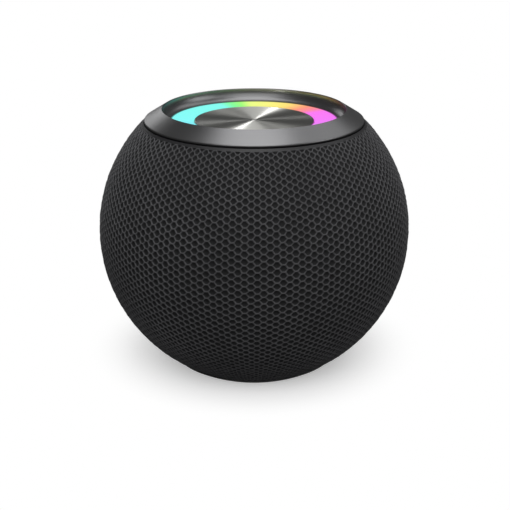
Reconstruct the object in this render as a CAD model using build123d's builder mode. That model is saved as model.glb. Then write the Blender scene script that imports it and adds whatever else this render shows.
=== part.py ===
from build123d import *
from math import asin, cos, hypot, radians, sin, sqrt
import os

# A ball-shaped smart speaker: knit-covered sphere, sloping metal trim ring, light ring,
# round play button, rear key panel with a USB-C inlet, flat foot.  Millimetres, +Z up.
# The origin is on the axis, in the plane that the foot stands on.  The front looks to -Y.

# ---------------------------------------------------------------- driving dimensions
# Ball and coverings
BALL_R = 50.0            # outside of the knit cover
FLAT_CUT = 4.0           # height that the standing plane takes off the ball
COVER_T = 0.9            # knit cover
COVER_LOW = -58.0        # latitude of the cover's lower edge, degrees
COVER_TOP = 44.2         # latitude of the cover's upper edge, degrees
GRILLE_T = 1.8           # wall of the perforated carcass
GRILLE_COLUMNS = 26      # honeycomb windows round the carcass
GRILLE_ROW_STEP = 12.0   # latitude from row to row, degrees
GRILLE_RIB = 2.4         # rib left between two windows on the equator
GRILLE_HEM = 8.0         # closed band at the carcass edges, degrees of latitude
CUT_OVERRUN = 1.0        # cutters past the wall that they cut

# Trim ring, light ring and button
BEVEL_PROUD = 0.34       # lower edge of the sloping face outside the knit surface
BEVEL_STEP = 0.55        # from the dark band up to that edge, degrees of latitude
BEVEL_RUN = 5.8          # from that edge in to the crest
BEVEL_DROP = 3.62        # from the crest down to that edge
TRIM_WALL = 1.3
CREST_EDGE_W = 0.15      # broken inner edge of the crest
CREST_EDGE_H = 0.25
BEVEL_ROUND = 0.5
RECESS = 3.95            # from the crest down to the light ring and the button
WALL_RUN = 2.5           # from the crest in to the light ring
WALL_TOE = 0.1           # upright foot of the hollow inner wall
WALL_HOLLOW_OUT = 0.72   # how far out the wall has run at its hollow, share of the run
WALL_HOLLOW_UP = 0.36    # how far up that is, share of the recess
LIGHT_W = 7.3            # visible width of the light ring
LIGHT_FIT = 0.05
LIGHT_T = 1.5
LIGHT_FLANGE = 1.3       # hidden rim that the trim ring holds down
LIGHT_RIM_DROP = 0.5     # top of that rim below the light ring
HOOK_COUNT = 8
HOOK_FIRST = 22.5       # angle of the first hook, clear of the deck bosses
HOOK_W = 5.0
HOOK_T = 1.1
HOOK_DEPTH = 2.6
HOOK_FIT = 0.15          # hook off the deck wall
HOOK_ROOT = 0.6          # reach of the hook up into the ring
HOOK_BARB = 0.4
HOOK_LEAD = 0.9          # sloping nose under the barb
HOOK_LEDGE = 0.4         # sloping ledge over it
HOOK_SLOT_FIT = 0.3      # slot in the deck round a hook
BUTTON_GAP = 0.4         # running gap round the button cap
BUTTON_T = 1.0
BUTTON_ROUND = 0.3
BUTTON_SKIRT = 1.2       # turned-down edge of the cap
BUTTON_TRAVEL = 0.5
CARRIER_T = 1.5
CARRIER_LEG_R = 1.5
CARRIER_LEG_AT = 14.0    # distance of the guide legs from the axis
LEG_FIT = 0.08           # radial running clearance of the legs
CARRIER_FIT = 0.1
CARRIER_RIB = 1.0        # rims left round the plate's thin web

# Light board and what stands on it
BOARD_T = 1.2
CHIP_COUNT = 16
CHIP_W = 5.0
CHIP_H = 1.6
SWITCH_W = 6.0
SWITCH_H = 2.2
PLUNGER_R = 1.75
PLUNGER_STICKOUT = 0.95
PLUNGER_ENTRY = 0.5      # plunger inside the switch at rest
PLUNGER_OVERRUN = 0.1    # bore left under the pressed plunger
PAD_R = 11.0             # silicone return pad, outer radius
PAD_WALL = 1.6
MIC_L = 3.8
MIC_W = 2.9
MIC_H = 1.1
MIC_AT = 6.8
MIC_COUNT = 4
REFLECTOR_WALL = 0.8
BOARD_SCREW_OUT = 1.0    # screws outward of the middle between pad and light ring

# Top deck
DECK_T = 1.6
DECK_WALL = 1.7
RIM_FIT = 0.3            # deck bore round the light ring's rim
BOARD_FIT = 0.2          # light board inside that bore
TRIM_SEAT_FIT = 0.2      # deck flange under the trim ring
SKIRT_SET_BACK = 0.2     # visible dark band under the ring, below the knit surface
SKIRT_LATITUDE = 1.2     # its width, degrees of latitude
DECK_BOSS_R = 2.3
DECK_BOSS_STEP = 1.5     # boss centres outward of the deck wall
DECK_BOSS_DROP = 6.2     # boss length under the deck's flange
DECK_BOSS_SEAT = 2.0     # material under a screw head

# Screws
SCREW_R = 1.0
SCREW_HEAD_R = 1.9
SCREW_HEAD_H = 1.2
SCREW_SLOT_L = 2.3       # arms of the cross recess
SCREW_SLOT_W = 0.35
SCREW_LENGTH = 6.0
SCREW_FIT = 0.05         # radial clearance round a shank
HEAD_FIT = 0.3           # radial clearance round a head
SCREW_TIP = 0.5          # screw end past the wall that it holds

# Sealed acoustic chamber
CHAMBER_GAP = 2.3        # chamber inside the carcass
CHAMBER_WALL = 1.8
SIDE_FLAT = 8.0          # cut off each side, where the passive radiators sit
REAR_FLAT = 9.0          # cut off behind the key panel
CHAMBER_FLOOR = 2.0
RIM_W = 5.0              # inward rim that takes the lid screws
RIM_T = 6.0
RIM_BLIND = 1.0          # rim left under the lid screws' holes
GASKET_T = 0.8
LID_T = 2.2
LID_SCREW_COUNT = 8
TOWER_R = 2.6
BATTERY_L = 48.0
BATTERY_W = 36.0
BATTERY_H = 8.0
BATTERY_ROUND = 2.0
BATTERY_PAD_T = 0.5
BATTERY_PAD_INSET = 3.0
BATTERY_FIT = 0.3
BATTERY_RIB_T = 1.2
BATTERY_RIB_H = 3.0
MAIN_BOARD_R = 34.0
MAIN_BOARD_T = 1.6
MAIN_BOARD_LIFT = 1.2    # free height between battery and board
MAIN_HEADROOM = 3.1      # free height between board and deck
TOWER_INSET = 2.5        # tower centres in from the board's edge
SHIELD_L = 24.0
SHIELD_W = 18.0
SHIELD_H = 2.2
SHIELD_WALL = 0.3
SHIELD_X = 8.0
SHIELD_Y = -9.0
BOARD_CHIP_W = 7.0
BOARD_CHIP_H = 1.2
BOARD_CHIP_PLACES = [(-16.0, -8.0), (-16.0, 2.0), (14.0, 12.0)]
CAPACITOR_R = 2.4
CAPACITOR_H = 2.4
CAPACITOR_PLACES = [(-8.0, -22.0), (0.0, -24.0)]

# Full-range driver, firing down
DRIVER_R = 27.0          # flange
DRIVER_FLANGE_T = 1.6
BASKET_HOLE_R = 24.4
BASKET_FIT = 0.4
BASKET_WINDOW_COUNT = 6
BASKET_WINDOW_W = 17.0
BASKET_WALL = 1.2
BASKET_DEPTH = 14.0
CONE_R = 20.0
CONE_T = 0.6
CONE_DEPTH = 8.5
CONE_BOW_IN = 0.9        # middle of the cone's curve, inward and down from a straight one
CONE_BOW_DOWN = 0.6
CONE_SET_IN = 0.5        # cone edge above the flange face
SURROUND_W = 3.6
SURROUND_T = 0.5
SURROUND_LAP = 1.0       # surround glued under the cone's edge
ROLL_LAND = 0.8          # flat lands beside a half roll
ROLL_THIN = 0.1          # the roll's top thinner than its lands
SPIDER_T = 0.5
SPIDER_LIFT = 2.0        # above the cone's neck
SPIDER_FIT = 0.2
SPIDER_FOLDS = 6
SPIDER_WAVE = 0.4        # height of a fold
COIL_R = 10.35
COIL_T = 0.5
COIL_LENGTH = 11.0
POLE_GAP = 0.35
PLATE_GAP = 0.4
TOP_PLATE_R = 16.0
TOP_PLATE_T = 3.0
MAGNET_R = 16.5
MAGNET_T = 6.0
MAGNET_BORE = 12.0
YOKE_R = 16.0
YOKE_T = 3.0
YOKE_BEVEL = 1.2
DUST_CAP_H = 3.0
DUST_CAP_SINK = 1.5      # rim of the dust cap below the cone's neck
DRIVER_SCREW_COUNT = 4

# Passive radiators
RADIATOR_CLEAR = 1.26    # frame off the carcass at its tightest corner
RADIATOR_BORDER = 3.5    # frame's rim on the chamber
RADIATOR_LIP = 0.4       # frame inside the chamber's hole
RADIATOR_ROLL = 4.5      # from that hole in to the plate
RADIATOR_FRAME_T = 2.0
RADIATOR_PLATE_T = 1.4
RADIATOR_WEIGHT_R = 7.5  # raised weight on the plate
RADIATOR_SURROUND_T = 0.6
RADIATOR_DROP = 5.0      # axis below the ball's centre

# Waveguide, base and foot
BASE_PROUD = 0.4         # base skin outside the knit surface
BASE_Z = 0.8             # underside of the base above the standing plane
BASE_T = 2.0
BASE_ROUND = 0.6
FOOT_R = 18.9
FOOT_W = 4.8
FOOT_SEAT = 1.2
FOOT_FIT = 0.1
WAVE_TOP_Z = 14.5
SOUND_GAP = 5.5          # free height between the horn's tip and the chamber
WAVE_R = 22.0
WAVE_TIP_R = 1.5
WAVE_T = 1.6
HORN_HOLLOW = 0.42       # share of the horn's width and height at its hollow
FIN_COUNT = 4
FIN_T = 3.2
FIN_FOOT_R = 17.0
FIN_INSET = 0.5
FIN_SINK = 0.32          # fin feet into the plate that they stand on
BASE_SCREW_AT = 8.5
BOSS_WALL = 1.6

# Rear panel, keys and inlet
PANEL_W = 40.0
PANEL_H = 20.0
PANEL_ROUND = 6.0
PANEL_DROP = 8.0         # middle of the panel below the ball's centre
PANEL_FIT = 0.15
PANEL_SET_BACK = 0.3     # face below the knit surface
PANEL_LIP_W = 1.2
PANEL_LIP_PROUD = 0.3
PANEL_T = 2.0
PANEL_FLANGE_W = 2.0
PANEL_FLANGE_T = 1.4
KEY_NAMES = ("mute_key", "minus_key", "plus_key", "power_key")
KEY_W = 7.0
KEY_H = 5.0
KEY_ROUND = 2.0
KEY_PITCH = 9.0
KEY_RAISE = 4.5          # key row above the panel's middle
KEY_GAP = 0.3
KEY_PROUD = 0.5          # key tops outside the knit surface
KEY_TRAVEL = 0.4
KEY_COLLAR = 0.4
KEY_COLLAR_T = 0.7
KEY_BOARD_CLEAR = 2.2    # key board behind the chamber's rear flat
KEY_BOARD_W = 36.0
KEY_BOARD_H = 17.0
KEY_SCREW_X = 13.0
KEY_SCREW_DROP = 6.5
KEY_SCREW_LENGTH = 4.8
KEY_SWITCH_W = 4.0
KEY_SWITCH_H = 1.9
KEY_SWITCH_CLEAR = 0.1   # left between key and switch at full travel
USB_W = 8.94
USB_H = 3.16
USB_WALL = 0.3
USB_DROP = 5.0           # inlet below the panel's middle
USB_SET_IN = 1.6         # mouth of the socket behind the panel face
USB_TONGUE_W = 6.7
USB_TONGUE_H = 0.7
USB_FLOOR = 1.0
PORT_POCKET = 2.0        # free border for the plug's grip
PORT_POCKET_DEPTH = 1.0
FLEX_T = 0.3
FLEX_W = 8.0
FLEX_X = 11.0
FLEX_SLOT_FIT = 0.6
FLEX_TAIL = 2.0          # flat end on a board
FLEX_BEND = 0.8
FLEX_CLEAR = 0.9         # cable off the chamber's rear flat
RIBBON_X = -10.0
RIBBON_Y = 12.0

# ---------------------------------------------------------------- derived sizes
CENTRE_Z = BALL_R - FLAT_CUT
GRILLE_R = BALL_R - COVER_T
INNER_R = GRILLE_R - GRILLE_T
BASE_R = BALL_R + BASE_PROUD
BEVEL_LATITUDE = radians(COVER_TOP + SKIRT_LATITUDE + BEVEL_STEP)
BEVEL_R = (BALL_R + BEVEL_PROUD) * cos(BEVEL_LATITUDE)
BEVEL_Z = CENTRE_Z + (BALL_R + BEVEL_PROUD) * sin(BEVEL_LATITUDE)
CREST_R = BEVEL_R - BEVEL_RUN
CREST_Z = BEVEL_Z + BEVEL_DROP
LIGHT_Z = CREST_Z - RECESS
LIGHT_R = CREST_R - WALL_RUN
LIGHT_IN_R = LIGHT_R - LIGHT_W
BUTTON_R = LIGHT_IN_R - BUTTON_GAP
RIM_Z = LIGHT_Z - LIGHT_RIM_DROP
LIGHT_LOW_Z = LIGHT_Z - LIGHT_T
RIM_R = LIGHT_R + LIGHT_FLANGE
CARRIER_TOP_Z = LIGHT_Z - BUTTON_T
CARRIER_LOW_Z = CARRIER_TOP_Z - CARRIER_T
BOARD_TOP_Z = CARRIER_LOW_Z - PLUNGER_STICKOUT - SWITCH_H
BOARD_LOW_Z = BOARD_TOP_Z - BOARD_T
DECK_LOW_Z = BOARD_LOW_Z - DECK_T
CHIP_AT = (LIGHT_IN_R + RIM_R) / 2
DECK_IN_R = RIM_R + RIM_FIT
DECK_OUT_R = DECK_IN_R + DECK_WALL
DECK_BOSS_AT = DECK_OUT_R + DECK_BOSS_STEP
BOARD_R = DECK_IN_R - BOARD_FIT
MAIN_TOP_Z = DECK_LOW_Z - MAIN_HEADROOM
MAIN_LOW_Z = MAIN_TOP_Z - MAIN_BOARD_T
BATTERY_LOW_Z = MAIN_LOW_Z - MAIN_BOARD_LIFT - BATTERY_H
LID_TOP_Z = BATTERY_LOW_Z - BATTERY_PAD_T
CHAMBER_TOP_Z = LID_TOP_Z - LID_T - GASKET_T
CHAMBER_LOW_Z = WAVE_TOP_Z + SOUND_GAP
CHAMBER_R = INNER_R - CHAMBER_GAP
CHAMBER_SIDE_X = CHAMBER_R - SIDE_FLAT
CHAMBER_REAR_Y = CHAMBER_R - REAR_FLAT
TOWER_AT = MAIN_BOARD_R - TOWER_INSET
RADIATOR_REACH = sqrt(INNER_R**2 - (CHAMBER_SIDE_X + RADIATOR_FRAME_T) ** 2)
RADIATOR_R = RADIATOR_REACH - RADIATOR_DROP - RADIATOR_CLEAR
RADIATOR_HOLE_R = RADIATOR_R - RADIATOR_BORDER
RADIATOR_PLATE_R = RADIATOR_HOLE_R - RADIATOR_ROLL
RADIATOR_Z = CENTRE_Z - RADIATOR_DROP
FLANGE_LOW_Z = CHAMBER_LOW_Z - DRIVER_FLANGE_T
BASE_TOP_Z = BASE_Z + BASE_T
SCREW_HOLE_R = SCREW_R + SCREW_FIT
HEAD_HOLE_R = SCREW_HEAD_R + HEAD_FIT
PANEL_FACE_R = BALL_R - PANEL_SET_BACK
PANEL_Z = CENTRE_Z - PANEL_DROP
KEY_Z = PANEL_Z + KEY_RAISE
USB_Z = PANEL_Z - USB_DROP
KEY_BOARD_Y = CHAMBER_REAR_Y + KEY_BOARD_CLEAR
KEY_BOARD_FRONT_Y = KEY_BOARD_Y + BOARD_T
KEY_BACK_Y = KEY_BOARD_FRONT_Y + KEY_SWITCH_H + KEY_SWITCH_CLEAR + KEY_TRAVEL
FAR_Y = BALL_R + 2.0     # clear of the ball at the rear


# ---------------------------------------------------------------- helpers
def ball_reach(radius, height):
    """Distance from the axis at which a ball of this radius passes this height."""
    return sqrt(radius**2 - (height - CENTRE_Z) ** 2)


def on_ball(radius, latitude):
    """(distance from the axis, height) of a point of the ball at this latitude."""
    return (radius * cos(radians(latitude)), CENTRE_Z + radius * sin(radians(latitude)))


def outline(*points):
    """Closed face through (distance from the axis, height) points, to be revolved."""
    with BuildSketch(Plane.XZ) as profile:
        with BuildLine():
            Polyline(*points, close=True)
        make_face()
    return profile.sketch


def ball_band(outer, inner, low, top):
    """Profile of a ball-shaped wall between two radii and two latitudes."""
    with BuildSketch(Plane.XZ) as profile:
        with BuildLine():
            skin = CenterArc((0, CENTRE_Z), outer, low, top - low)
            lining = CenterArc((0, CENTRE_Z), inner, low, top - low)
            Line(skin @ 0, lining @ 0)
            Line(skin @ 1, lining @ 1)
        make_face()
    return profile.sketch


def ball_slice(radius, low_z, top_z):
    """Profile of a solid ball between two heights."""
    with BuildSketch(Plane.XZ) as profile:
        with BuildLine():
            low = (ball_reach(radius, low_z), low_z)
            top = (ball_reach(radius, top_z), top_z)
            middle = on_ball(radius, 0)
            Line((0, low_z), low)
            ThreePointArc(low, middle, top)
            Line(top, (0, top_z))
            Line((0, top_z), (0, low_z))
        make_face()
    return profile.sketch


def pan_screw(length):
    """Pan-head screw along -Z, with its head seated on the plane Z = 0."""
    with BuildPart() as screw:
        Cylinder(SCREW_R, length, align=(Align.CENTER, Align.CENTER, Align.MAX))
        Cylinder(SCREW_HEAD_R, SCREW_HEAD_H, align=(Align.CENTER, Align.CENTER, Align.MIN))
        fillet(screw.edges().filter_by(GeomType.CIRCLE).sort_by(Axis.Z)[-1], SCREW_HEAD_H / 3)
        with BuildSketch(Plane.XY.offset(SCREW_HEAD_H)):
            Rectangle(SCREW_SLOT_L, SCREW_SLOT_W)
            Rectangle(SCREW_SLOT_W, SCREW_SLOT_L)
        extrude(amount=-SCREW_HEAD_H / 2, mode=Mode.SUBTRACT)
    return screw.part


def polar_places(distance, count, height, first=0.0, flip=False):
    """Places round the axis at one height; flip turns a screw head downwards."""
    tilt = 180 if flip else 0
    angles = [first + 360 * i / count for i in range(count)]
    return [
        Location((distance * cos(radians(a)), distance * sin(radians(a)), height), (tilt, 0, 0))
        for a in angles
    ]


def pill(width, height, corner):
    """Rounded rectangle with a corner radius that its height always allows."""
    return RectangleRounded(width, height, min(corner, height * 0.499, width * 0.499))


def finish(part, name):
    """Label a finished piece and write its STEP file."""
    part.label = name
    export_step(part, f"parts/{name}.step")


os.makedirs("parts", exist_ok=True)
rear_plane = Plane(origin=(0, 0, 0), x_dir=(-1, 0, 0), z_dir=(0, 1, 0))

# ---------------------------------------------------------------- trim ring
bevel_run = BEVEL_R - CREST_R
bevel_length = hypot(bevel_run, BEVEL_DROP)
inward = (-BEVEL_DROP / bevel_length * TRIM_WALL, -bevel_run / bevel_length * TRIM_WALL)
lip_inner = (BEVEL_R + inward[0], BEVEL_Z + inward[1])
crest_inner = (CREST_R + inward[0] + TRIM_WALL, CREST_Z + inward[1] - TRIM_WALL * 0.6)
hook_in_r = DECK_OUT_R + HOOK_FIT
hook_out_r = hook_in_r + HOOK_T
hook_root_z = RIM_Z + TRIM_WALL + HOOK_ROOT
hook_low_z = RIM_Z - HOOK_DEPTH

with BuildPart() as trim_ring:
    with BuildSketch(Plane.XZ) as trim_profile:
        with BuildLine():
            Line((CREST_R, CREST_Z), (BEVEL_R, BEVEL_Z))
            Line((BEVEL_R, BEVEL_Z), lip_inner)
            Line(lip_inner, crest_inner)
            Line(crest_inner, (DECK_IN_R + TRIM_WALL, RIM_Z + TRIM_WALL))
            Line((DECK_IN_R + TRIM_WALL, RIM_Z + TRIM_WALL), (DECK_IN_R + TRIM_WALL, RIM_Z))
            Line((DECK_IN_R + TRIM_WALL, RIM_Z), (LIGHT_R, RIM_Z))
            Line((LIGHT_R, RIM_Z), (LIGHT_R, LIGHT_Z + WALL_TOE))
            ThreePointArc(
                (LIGHT_R, LIGHT_Z + WALL_TOE),
                (LIGHT_R + WALL_RUN * WALL_HOLLOW_OUT, LIGHT_Z + RECESS * WALL_HOLLOW_UP),
                (CREST_R - CREST_EDGE_W, CREST_Z - CREST_EDGE_H),
            )
            Line((CREST_R - CREST_EDGE_W, CREST_Z - CREST_EDGE_H), (CREST_R, CREST_Z))
        make_face()
        fillet(trim_profile.vertices().group_by(Axis.X)[-1], BEVEL_ROUND)
    revolve(axis=Axis.Z)
    # snap hooks that reach down past the deck wall
    for number in range(HOOK_COUNT):
        hook_plane = Plane.XZ.rotated((0, 0, HOOK_FIRST + 360 * number / HOOK_COUNT))
        with BuildSketch(hook_plane):
            with BuildLine():
                Polyline(
                    (hook_in_r, hook_root_z),
                    (hook_in_r, hook_low_z),
                    (hook_out_r + HOOK_BARB, hook_low_z + HOOK_LEAD),
                    (hook_out_r, hook_low_z + HOOK_LEAD + HOOK_LEDGE),
                    (hook_out_r, hook_root_z),
                    close=True,
                )
            make_face()
        extrude(amount=HOOK_W / 2, both=True)
finish(trim_ring.part, "trim_ring")

# ---------------------------------------------------------------- light ring
with BuildPart() as light_diffuser:
    revolve(
        outline(
            (LIGHT_IN_R, LIGHT_LOW_Z),
            (RIM_R, LIGHT_LOW_Z),
            (RIM_R, RIM_Z),
            (LIGHT_R - LIGHT_FIT, RIM_Z),
            (LIGHT_R - LIGHT_FIT, LIGHT_Z),
            (LIGHT_IN_R, LIGHT_Z),
        ),
        axis=Axis.Z,
    )
finish(light_diffuser.part, "light_diffuser")

# white trough under the ring, with a window for every light chip
reflector_floor_z = BOARD_TOP_Z + REFLECTOR_WALL
with BuildPart() as light_reflector:
    revolve(
        outline(
            (LIGHT_IN_R, BOARD_TOP_Z),
            (RIM_R, BOARD_TOP_Z),
            (RIM_R, LIGHT_LOW_Z),
            (RIM_R - REFLECTOR_WALL, LIGHT_LOW_Z),
            (RIM_R - REFLECTOR_WALL, reflector_floor_z),
            (LIGHT_IN_R + REFLECTOR_WALL, reflector_floor_z),
            (LIGHT_IN_R + REFLECTOR_WALL, LIGHT_LOW_Z),
            (LIGHT_IN_R, LIGHT_LOW_Z),
        ),
        axis=Axis.Z,
    )
    with BuildSketch(Plane.XY.offset(BOARD_TOP_Z)):
        with PolarLocations(CHIP_AT, CHIP_COUNT):
            Rectangle(CHIP_W + 2 * HEAD_FIT, CHIP_W + 2 * HEAD_FIT)
    extrude(amount=REFLECTOR_WALL, mode=Mode.SUBTRACT)
finish(light_reflector.part, "light_reflector")

with BuildPart() as light_chips:
    with BuildSketch(Plane.XY.offset(BOARD_TOP_Z)):
        with PolarLocations(CHIP_AT, CHIP_COUNT):
            Rectangle(CHIP_W, CHIP_W)
    extrude(amount=CHIP_H)
finish(light_chips.part, "light_chips")

leg_places = [CARRIER_LEG_AT, 3]
board_screw_at = (PAD_R + LIGHT_IN_R) / 2 + BOARD_SCREW_OUT
with BuildPart() as light_board:
    with BuildSketch(Plane.XY.offset(BOARD_LOW_Z)):
        Circle(BOARD_R)
        with PolarLocations(*leg_places, start_angle=30):
            Circle(CARRIER_LEG_R + HEAD_FIT, mode=Mode.SUBTRACT)
        with PolarLocations(board_screw_at, 3, start_angle=90):
            Circle(SCREW_HOLE_R, mode=Mode.SUBTRACT)
    extrude(amount=BOARD_T)
finish(light_board.part, "light_board")

with BuildPart() as microphones:
    with BuildSketch(Plane.XY.offset(BOARD_TOP_Z)):
        with PolarLocations(MIC_AT, MIC_COUNT, start_angle=45):
            Rectangle(MIC_W, MIC_L)
    extrude(amount=MIC_H)
    fillet(microphones.faces().sort_by(Axis.Z)[-1].edges(), MIC_H / 6)
finish(microphones.part, "microphones")

with BuildPart() as tact_switch:
    with Locations((0, 0, BOARD_TOP_Z)):
        Box(SWITCH_W, SWITCH_W, SWITCH_H, align=(Align.CENTER, Align.CENTER, Align.MIN))
    chamfer(tact_switch.edges().filter_by(Axis.Z), SWITCH_W / 12)
    with Locations((0, 0, BOARD_TOP_Z + SWITCH_H)):
        Hole(PLUNGER_R + LEG_FIT, depth=PLUNGER_ENTRY + BUTTON_TRAVEL + PLUNGER_OVERRUN)
finish(tact_switch.part, "tact_switch")

with BuildPart() as light_board_screws:
    board_screw = pan_screw(BOARD_T + DECK_T + SCREW_TIP)
    with Locations(*polar_places(board_screw_at, 3, BOARD_TOP_Z, first=90)):
        add(board_screw)
finish(light_board_screws.part, "light_board_screws")

# ---------------------------------------------------------------- play button
with BuildPart() as button_cap:
    revolve(
        outline(
            (0, CARRIER_TOP_Z),
            (BUTTON_R - BUTTON_T, CARRIER_TOP_Z),
            (BUTTON_R - BUTTON_T, CARRIER_TOP_Z - BUTTON_SKIRT),
            (BUTTON_R, CARRIER_TOP_Z - BUTTON_SKIRT),
            (BUTTON_R, LIGHT_Z),
            (0, LIGHT_Z),
        ),
        axis=Axis.Z,
    )
    fillet(button_cap.edges().group_by(Axis.Z)[-1], BUTTON_ROUND)
finish(button_cap.part, "button_cap")

carrier_r = BUTTON_R - BUTTON_T - CARRIER_FIT
with BuildPart() as button_carrier:
    with Locations((0, 0, CARRIER_LOW_Z)):
        Cylinder(carrier_r, CARRIER_T, align=(Align.CENTER, Align.CENTER, Align.MIN))
    with BuildSketch(Plane.XY.offset(CARRIER_LOW_Z)):
        with PolarLocations(*leg_places, start_angle=30):
            Circle(CARRIER_LEG_R)
    extrude(amount=-(CARRIER_LOW_Z - DECK_LOW_Z - DECK_T / 2))
    # thin web between the ribs of the plate
    with BuildSketch(Plane.XY.offset(CARRIER_LOW_Z)):
        Circle(PAD_R - PAD_WALL - CARRIER_RIB)
        Circle(PLUNGER_R + CARRIER_RIB, mode=Mode.SUBTRACT)
    extrude(amount=CARRIER_T / 2, mode=Mode.SUBTRACT)
finish(button_carrier.part, "button_carrier")

with BuildPart() as switch_plunger:
    with Locations((0, 0, CARRIER_LOW_Z)):
        Cylinder(
            PLUNGER_R,
            PLUNGER_STICKOUT + PLUNGER_ENTRY,
            align=(Align.CENTER, Align.CENTER, Align.MAX),
        )
finish(switch_plunger.part, "switch_plunger")

with BuildPart() as return_pad:
    revolve(
        outline(
            (PAD_R - PAD_WALL, BOARD_TOP_Z),
            (PAD_R, BOARD_TOP_Z),
            (PAD_R, CARRIER_LOW_Z),
            (PAD_R - PAD_WALL, CARRIER_LOW_Z),
        ),
        axis=Axis.Z,
    )
finish(return_pad.part, "return_pad")

# ---------------------------------------------------------------- top deck
skirt_r = BALL_R - SKIRT_SET_BACK
deck_flange_z = lip_inner[1] - TRIM_SEAT_FIT
boss_low_z = on_ball(INNER_R, COVER_TOP)[1] - DECK_BOSS_DROP
hook_slot_w = hook_out_r + HOOK_BARB + HOOK_SLOT_FIT - (DECK_OUT_R - HOOK_SLOT_FIT)
with BuildPart() as top_deck:
    with BuildSketch(Plane.XZ):
        with BuildLine():
            band = CenterArc((0, CENTRE_Z), skirt_r, COVER_TOP, SKIRT_LATITUDE)
            seat = on_ball(INNER_R, COVER_TOP)
            Line(seat, band @ 0)
            Polyline(
                band @ 1,
                (lip_inner[0] - TRIM_SEAT_FIT, deck_flange_z),
                (DECK_OUT_R, deck_flange_z),
                (DECK_OUT_R, RIM_Z),
                (DECK_IN_R, RIM_Z),
                (DECK_IN_R, BOARD_LOW_Z),
                (0, BOARD_LOW_Z),
                (0, DECK_LOW_Z),
                (DECK_IN_R, DECK_LOW_Z),
                (DECK_OUT_R, DECK_LOW_Z + DECK_WALL / 2),
                (DECK_OUT_R, seat[1]),
                seat,
            )
        make_face()
    revolve(axis=Axis.Z)
    with BuildSketch(Plane.XY.offset(seat[1])):
        with PolarLocations(DECK_BOSS_AT, 4):
            Circle(DECK_BOSS_R)
    extrude(amount=boss_low_z - seat[1])
    # guide bores, screw holes, slots for the trim ring's hooks and the ribbon
    with BuildSketch(Plane.XY.offset(BOARD_LOW_Z)):
        with PolarLocations(*leg_places, start_angle=30):
            Circle(CARRIER_LEG_R + LEG_FIT)
        with PolarLocations(board_screw_at, 3, start_angle=90):
            Circle(SCREW_HOLE_R)
        with Locations((RIBBON_X, RIBBON_Y)):
            Rectangle(FLEX_T + 2 * FLEX_SLOT_FIT, FLEX_W + 2 * FLEX_SLOT_FIT)
    extrude(amount=-DECK_T, mode=Mode.SUBTRACT)
    with BuildSketch(Plane.XY.offset(deck_flange_z)):
        with PolarLocations(DECK_OUT_R - HOOK_SLOT_FIT, HOOK_COUNT, start_angle=HOOK_FIRST):
            Rectangle(hook_slot_w, HOOK_W + 2 * HOOK_SLOT_FIT, align=(Align.MIN, Align.CENTER))
    extrude(amount=seat[1] - deck_flange_z, mode=Mode.SUBTRACT)
    with Locations(*polar_places(DECK_BOSS_AT, 4, deck_flange_z)):
        CounterBoreHole(SCREW_HOLE_R, HEAD_HOLE_R, deck_flange_z - boss_low_z - DECK_BOSS_SEAT)
finish(top_deck.part, "top_deck")

with BuildPart() as deck_screws:
    with Locations(*polar_places(DECK_BOSS_AT, 4, boss_low_z + DECK_BOSS_SEAT)):
        add(pan_screw(SCREW_LENGTH))
finish(deck_screws.part, "deck_screws")

# ---------------------------------------------------------------- sealed chamber
fin_top_in = DRIVER_R + HEAD_FIT
fin_top_out = ball_reach(INNER_R - HEAD_FIT, CHAMBER_LOW_Z - WAVE_T)
wave_screw_at = (fin_top_in + fin_top_out) / 2
fin_low_z = BASE_TOP_Z + 2 * WAVE_T
with BuildPart() as chamber_core:
    revolve(ball_slice(CHAMBER_R, CHAMBER_LOW_Z, CHAMBER_TOP_Z), axis=Axis.Z)
    with Locations((0, CHAMBER_REAR_Y, CENTRE_Z)):
        Box(
            2 * CHAMBER_SIDE_X,
            2 * (CHAMBER_R + CHAMBER_REAR_Y),
            4 * BALL_R,
            align=(Align.CENTER, Align.MAX, Align.CENTER),
            mode=Mode.INTERSECT,
        )
chamber_cavity_low = CHAMBER_LOW_Z + CHAMBER_FLOOR
with BuildPart() as chamber_cavity:
    revolve(ball_slice(CHAMBER_R - CHAMBER_WALL, chamber_cavity_low, CHAMBER_TOP_Z), axis=Axis.Z)
    with Locations((0, CHAMBER_REAR_Y - CHAMBER_WALL, CENTRE_Z)):
        Box(
            2 * (CHAMBER_SIDE_X - CHAMBER_WALL),
            2 * (CHAMBER_R + CHAMBER_REAR_Y),
            4 * BALL_R,
            align=(Align.CENTER, Align.MAX, Align.CENTER),
            mode=Mode.INTERSECT,
        )
top_face = chamber_core.faces().sort_by(Axis.Z)[-1]
rim_opening = offset(top_face, -RIM_W, kind=Kind.INTERSECTION)
lid_screw_r = CHAMBER_REAR_Y - RIM_W / 2
with BuildPart() as rim:
    extrude(top_face, amount=-RIM_T)
    extrude(rim_opening, amount=-RIM_T, mode=Mode.SUBTRACT)
    add(chamber_core.part, mode=Mode.INTERSECT)
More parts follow.
